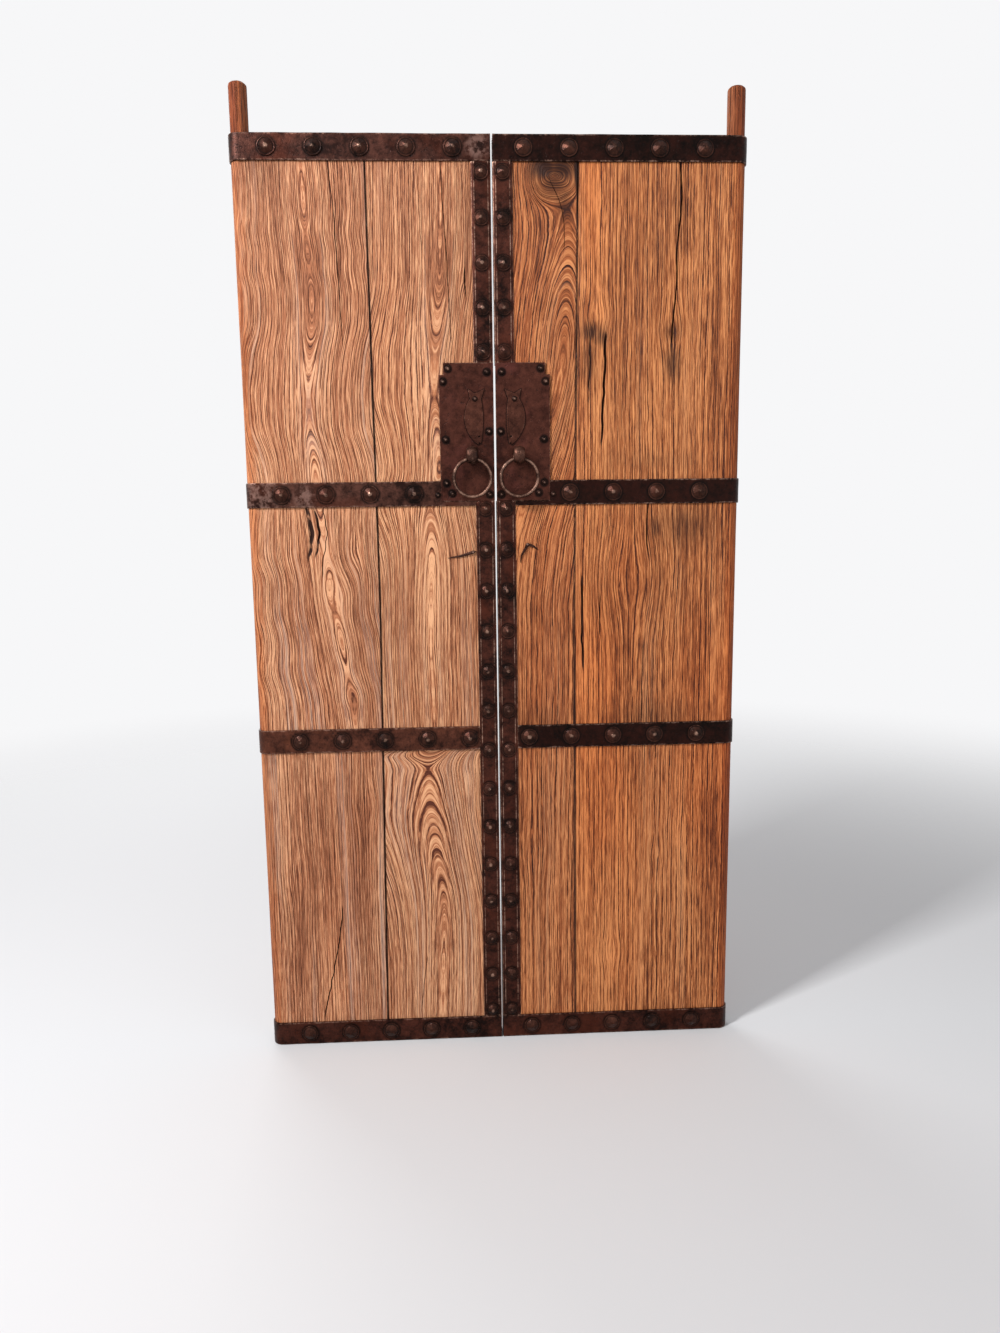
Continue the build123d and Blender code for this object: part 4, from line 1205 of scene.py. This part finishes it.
WOODS = {
    "left_inner": wood(
        "left_inner_wood", [(234, 175, 131), (186, 119, 81), (88, 42, 26), (188, 160, 144)],
        0.40, 0.22, rings=1.5, bite=1.6,
    ),
    "left_outer": wood(
        "left_outer_wood", [(232, 172, 130), (182, 115, 79), (86, 42, 26), (182, 160, 150)],
        0.55, 0.18, rings=1.5, bite=1.6,
    ),
    "right_inner": wood(
        "right_inner_wood", [(216, 142, 90), (162, 90, 50), (56, 20, 9), (160, 128, 104)],
        0.22, 0.45, rings=1.30, bite=1.4,
    ),
    "right_outer": wood(
        "right_outer_wood", [(224, 148, 92), (170, 97, 53), (74, 31, 15), (158, 124, 98)],
        0.22, 0.55, rings=1.9, bite=1.55,
    ),
    "post": wood(
        "post_wood", [(170, 98, 56), (128, 66, 34), (52, 21, 11), (130, 104, 88)], 0.15, 0.4
    ),
    "batten": wood(
        "batten_wood", [(176, 118, 80), (130, 80, 50), (54, 25, 14), (140, 120, 108)],
        0.3, 0.3, on_planks=False,
    ),
}
ENDS = end_grain("end_grain_wood", (172, 110, 72), (58, 27, 16))
RUST = (80, 36, 22)
IRONS = {
    "strap": iron("strap_iron", (24, 9, 6), (84, 44, 33), RUST, 0.46),
    "strap_left_top": iron(
        "worn_strap_iron", (34, 17, 13), (88, 52, 42), RUST, 0.46,
        patches=[(-0.028, 1.912, 0.032)],
    ),
    "strap_left_middle": iron(
        "scaled_strap_iron", (36, 18, 13), (96, 60, 49), RUST, 0.46,
        patches=[(-0.495, 1.232, 0.055), (-0.40, 1.225, 0.03)],
    ),
    "strap_left_third": iron("brown_strap_iron", (40, 19, 13), (102, 58, 43), (104, 56, 36), 0.46),
    "strap_dark": iron("dark_strap_iron", (12, 4, 2), (48, 20, 13), (44, 16, 9), 0.44),
    "plate": iron("plate_iron", (44, 19, 13), (88, 48, 37), (98, 52, 46), 0.46),
    "cover": iron("cover_iron", (40, 18, 12), (90, 52, 40), (86, 44, 33), 0.44),
    "nail": iron("nail_iron", (20, 9, 6), (78, 45, 34), (66, 32, 22), 0.38),
    "stud": iron("stud_iron", (12, 5, 4), (50, 28, 21), (44, 20, 14), 0.40),
    "ring": iron("ring_iron", (26, 13, 10), (96, 63, 51), (66, 35, 25), 0.40),
}


# Leaves

# Nodes that ride on a body of their own
BODIES = {"ring_pull": "ring", "fish_cover": "cover"}


def wooden(name, part, ending, bm, finish, sharp):
    """A board or post, with the second material on its sawn ends."""
    for face in bm.faces:
        if abs(face.normal.z) > 0.9:
            face.material_index = 1
    piece(
        f"{name}_{ending}", bm, [WOODS[finish], ENDS], f"{name}_leaf", f"{name}_{part}_plank",
        f"{name}_leaf_wood", sharp,
    )


def edge_course(side, out):
    """The course of a plank's straight edge."""
    return [(0.0, side * out), (leaf_top, side * out)]


for name, side in SIDES.items():
    before_joint = [(z, x - side * JOINT_GAP / 2) for z, x in JOINTS[name]]
    after_joint = [(z, x + side * JOINT_GAP / 2) for z, x in JOINTS[name]]
    inner = plank(
        f"{name}_inner", side, edge_course(side, wood_edge), before_joint, False, 100 + side
    )
    outer = plank(
        f"{name}_outer", side, after_joint, edge_course(side, post_axis), True, 110 + side
    )
    wooden(name, "inner", "inner_board", inner, f"{name}_inner", 55)
    wooden(name, "outer", "outer_board", outer, f"{name}_outer", 55)
    wooden(name, "outer", "post", post(side, 120 + side), "post", 50)

    # Iron and battens: node, ending of the piece's name, shape, finish, slot, sharp angle
    parts = []
    for row in ("upper", "middle", "lower"):
        bm = copy_of(f"{name}_batten_{row}", 1.4 * MM)
        parts.append((f"batten_{row}", "bar", bm, WOODS["batten"], "batten_wood", 40))
    for k, row in enumerate(("top", "middle", "third", "bottom")):
        low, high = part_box(f"{name}_strap_{row}")
        spots = heads_of(f"{name}_nails_{row}", NAIL_FACE)
        if row == "middle":
            path = strap_path(False, (plate_end - 0.05 * MM, plate_end + 0.25 * MM))
            under_plate = (path[:, 0] < plate_end) & (path[:, 1] < 0)
            top = np.where(under_plate, plate_bottom, high.z)
        else:
            path = strap_path(row in ("top", "bottom"))
            top = np.full(len(path), high.z)
        bm = band(side, path, low.z, top, 130 + 9 * k + side, spots)
        tone = "strap_dark" if name == "right" else f"strap_left_{row}"
        tone = "strap" if row == "bottom" else tone
        parts.append((f"strap_{row}", "band", bm, IRONS[tone], "strap_iron", 35))
    spots = heads_of(f"{name}_nails_edge", NAIL_FACE)
    for row in ("upper", "lower"):
        low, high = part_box(f"{name}_edge_strap_{row}")
        bm = edge_strap(side, low.z, high.z, 170 + side, spots)
        parts.append((f"edge_strap_{row}", "angle", bm, IRONS["strap"], "strap_iron", 35))
    for k, row in enumerate(("top", "middle", "third", "bottom", "edge")):
        bm = nails(name, row, 200 + 20 * k + side)
        parts.append((f"nails_{row}", "forged", bm, IRONS["nail"], "nail_iron", 13))
    parts += [
        (
            "lock_plate", "sheet", lock_plate(name, side, 300 + side), IRONS["plate"],
            "plate_iron", 50,
        ),
        ("plate_studs", "domed", studs(name, side), IRONS["stud"], "nail_iron", 60),
        ("ring_eye", "loop", ring_eye(name, side), IRONS["ring"], "ring_iron", 50),
        ("bar_staple", "rod", staple(name, side), IRONS["ring"], "ring_iron", 60),
        ("cover_rivet", "domed", rivet(name), IRONS["stud"], "nail_iron", 60),
        ("ring_pull", "rod", ring_pull(name, side), IRONS["ring"], "ring_iron", 60),
        ("fish_cover", "sheet", fish_cover(name), IRONS["cover"], "plate_iron", 50),
    ]
    for node, ending, bm, finish, slot, sharp in parts:
        body = f"{name}_{BODIES.get(node, 'leaf')}"
        piece(f"{name}_{node}_{ending}", bm, [finish], body, f"{name}_{node}", slot, sharp)


# Room

# The surround as it lights the leaves and as it is seen, and the floor
AMBIENT = 0.44
SURROUND = (0.93, 0.93, 0.94)
FLOOR = (0.68, 0.68, 0.69)
# Where the floor starts to fade, and is gone
FLOOR_FADE = (1.2, 4.5)


def world_and_floor():
    """A pale surround that lights the leaves softly, and a floor that fades into it."""
    world = bpy.data.worlds.new("surround")
    bpy.context.scene.world = world
    s = Shader(world)
    kinds = ("Camera", "Glossy", "Transmission")
    eye, gloss, through = (s.node("ShaderNodeLightPath", output=f"Is {kind} Ray") for kind in kinds)
    seen = s.maths("MAXIMUM", eye, s.maths("MAXIMUM", gloss, through))
    colour = s.mix(seen, (AMBIENT, AMBIENT, AMBIENT * 1.02), SURROUND)
    background = s.node("ShaderNodeBackground", inputs={"Color": colour})
    s.node("ShaderNodeOutputWorld", inputs={"Surface": background})

    s = Shader(bpy.data.materials.new("pale_floor"))
    x, y, _ = s.split(s.place())
    gone = s.step(s.length(x, y, 0.0), *FLOOR_FADE)
    diffuse = s.node("ShaderNodeBsdfDiffuse", inputs={"Color": (*FLOOR, 1.0)})
    clear = s.node("ShaderNodeBsdfTransparent")
    blended = s.node("ShaderNodeMixShader", inputs={0: gone, 1: diffuse, 2: clear})
    s.node("ShaderNodeOutputMaterial", inputs={"Surface": blended})
    bm = bmesh.new()
    bmesh.ops.create_grid(bm, x_segments=2, y_segments=2, size=5.0)
    bmesh.ops.translate(bm, verts=bm.verts, vec=(0, 0, -0.5 * MM))
    placed("floor", as_mesh("floor", bm, [s.owner]))


def lamp(name, place, target, size, power):
    """A soft square lamp that faces a target."""
    light = bpy.data.lights.new(name, "AREA")
    light.shape, light.size, light.energy = "SQUARE", size, power
    made = placed(name, light)
    made.location = place
    made.rotation_euler = (Vector(target) - Vector(place)).to_track_quat("-Z", "Y").to_euler()


world_and_floor()
lamp("key", (-2.4, -2.0, 3.45), (0, 0, 1.25), 0.6, 165)
lamp("fill", (2.6, -2.6, 1.4), (0, 0, 1.0), 2.4, 14)
lamp("behind", (-1.5, 3.0, 2.6), (0, 0, 1.0), 2.2, 55)

# Camera: where the photograph was taken from, a little left of the seam and at ring height
camera = placed("camera", bpy.data.cameras.new("camera"))
camera.data.sensor_fit, camera.data.sensor_width = "HORIZONTAL", 36.0
camera.data.lens = 34.10
right_way = Vector((0.99872, -0.04895, -0.01263))
backward = Vector((-0.0465, -0.98757, 0.15017))
facing = Matrix((right_way, backward.cross(right_way), backward)).transposed()
camera.matrix_world = Matrix.Translation((-0.0911, -2.047, 1.1684)) @ facing.to_4x4()
bpy.context.scene.camera = camera
bpy.context.scene.view_settings.view_transform = "Standard"
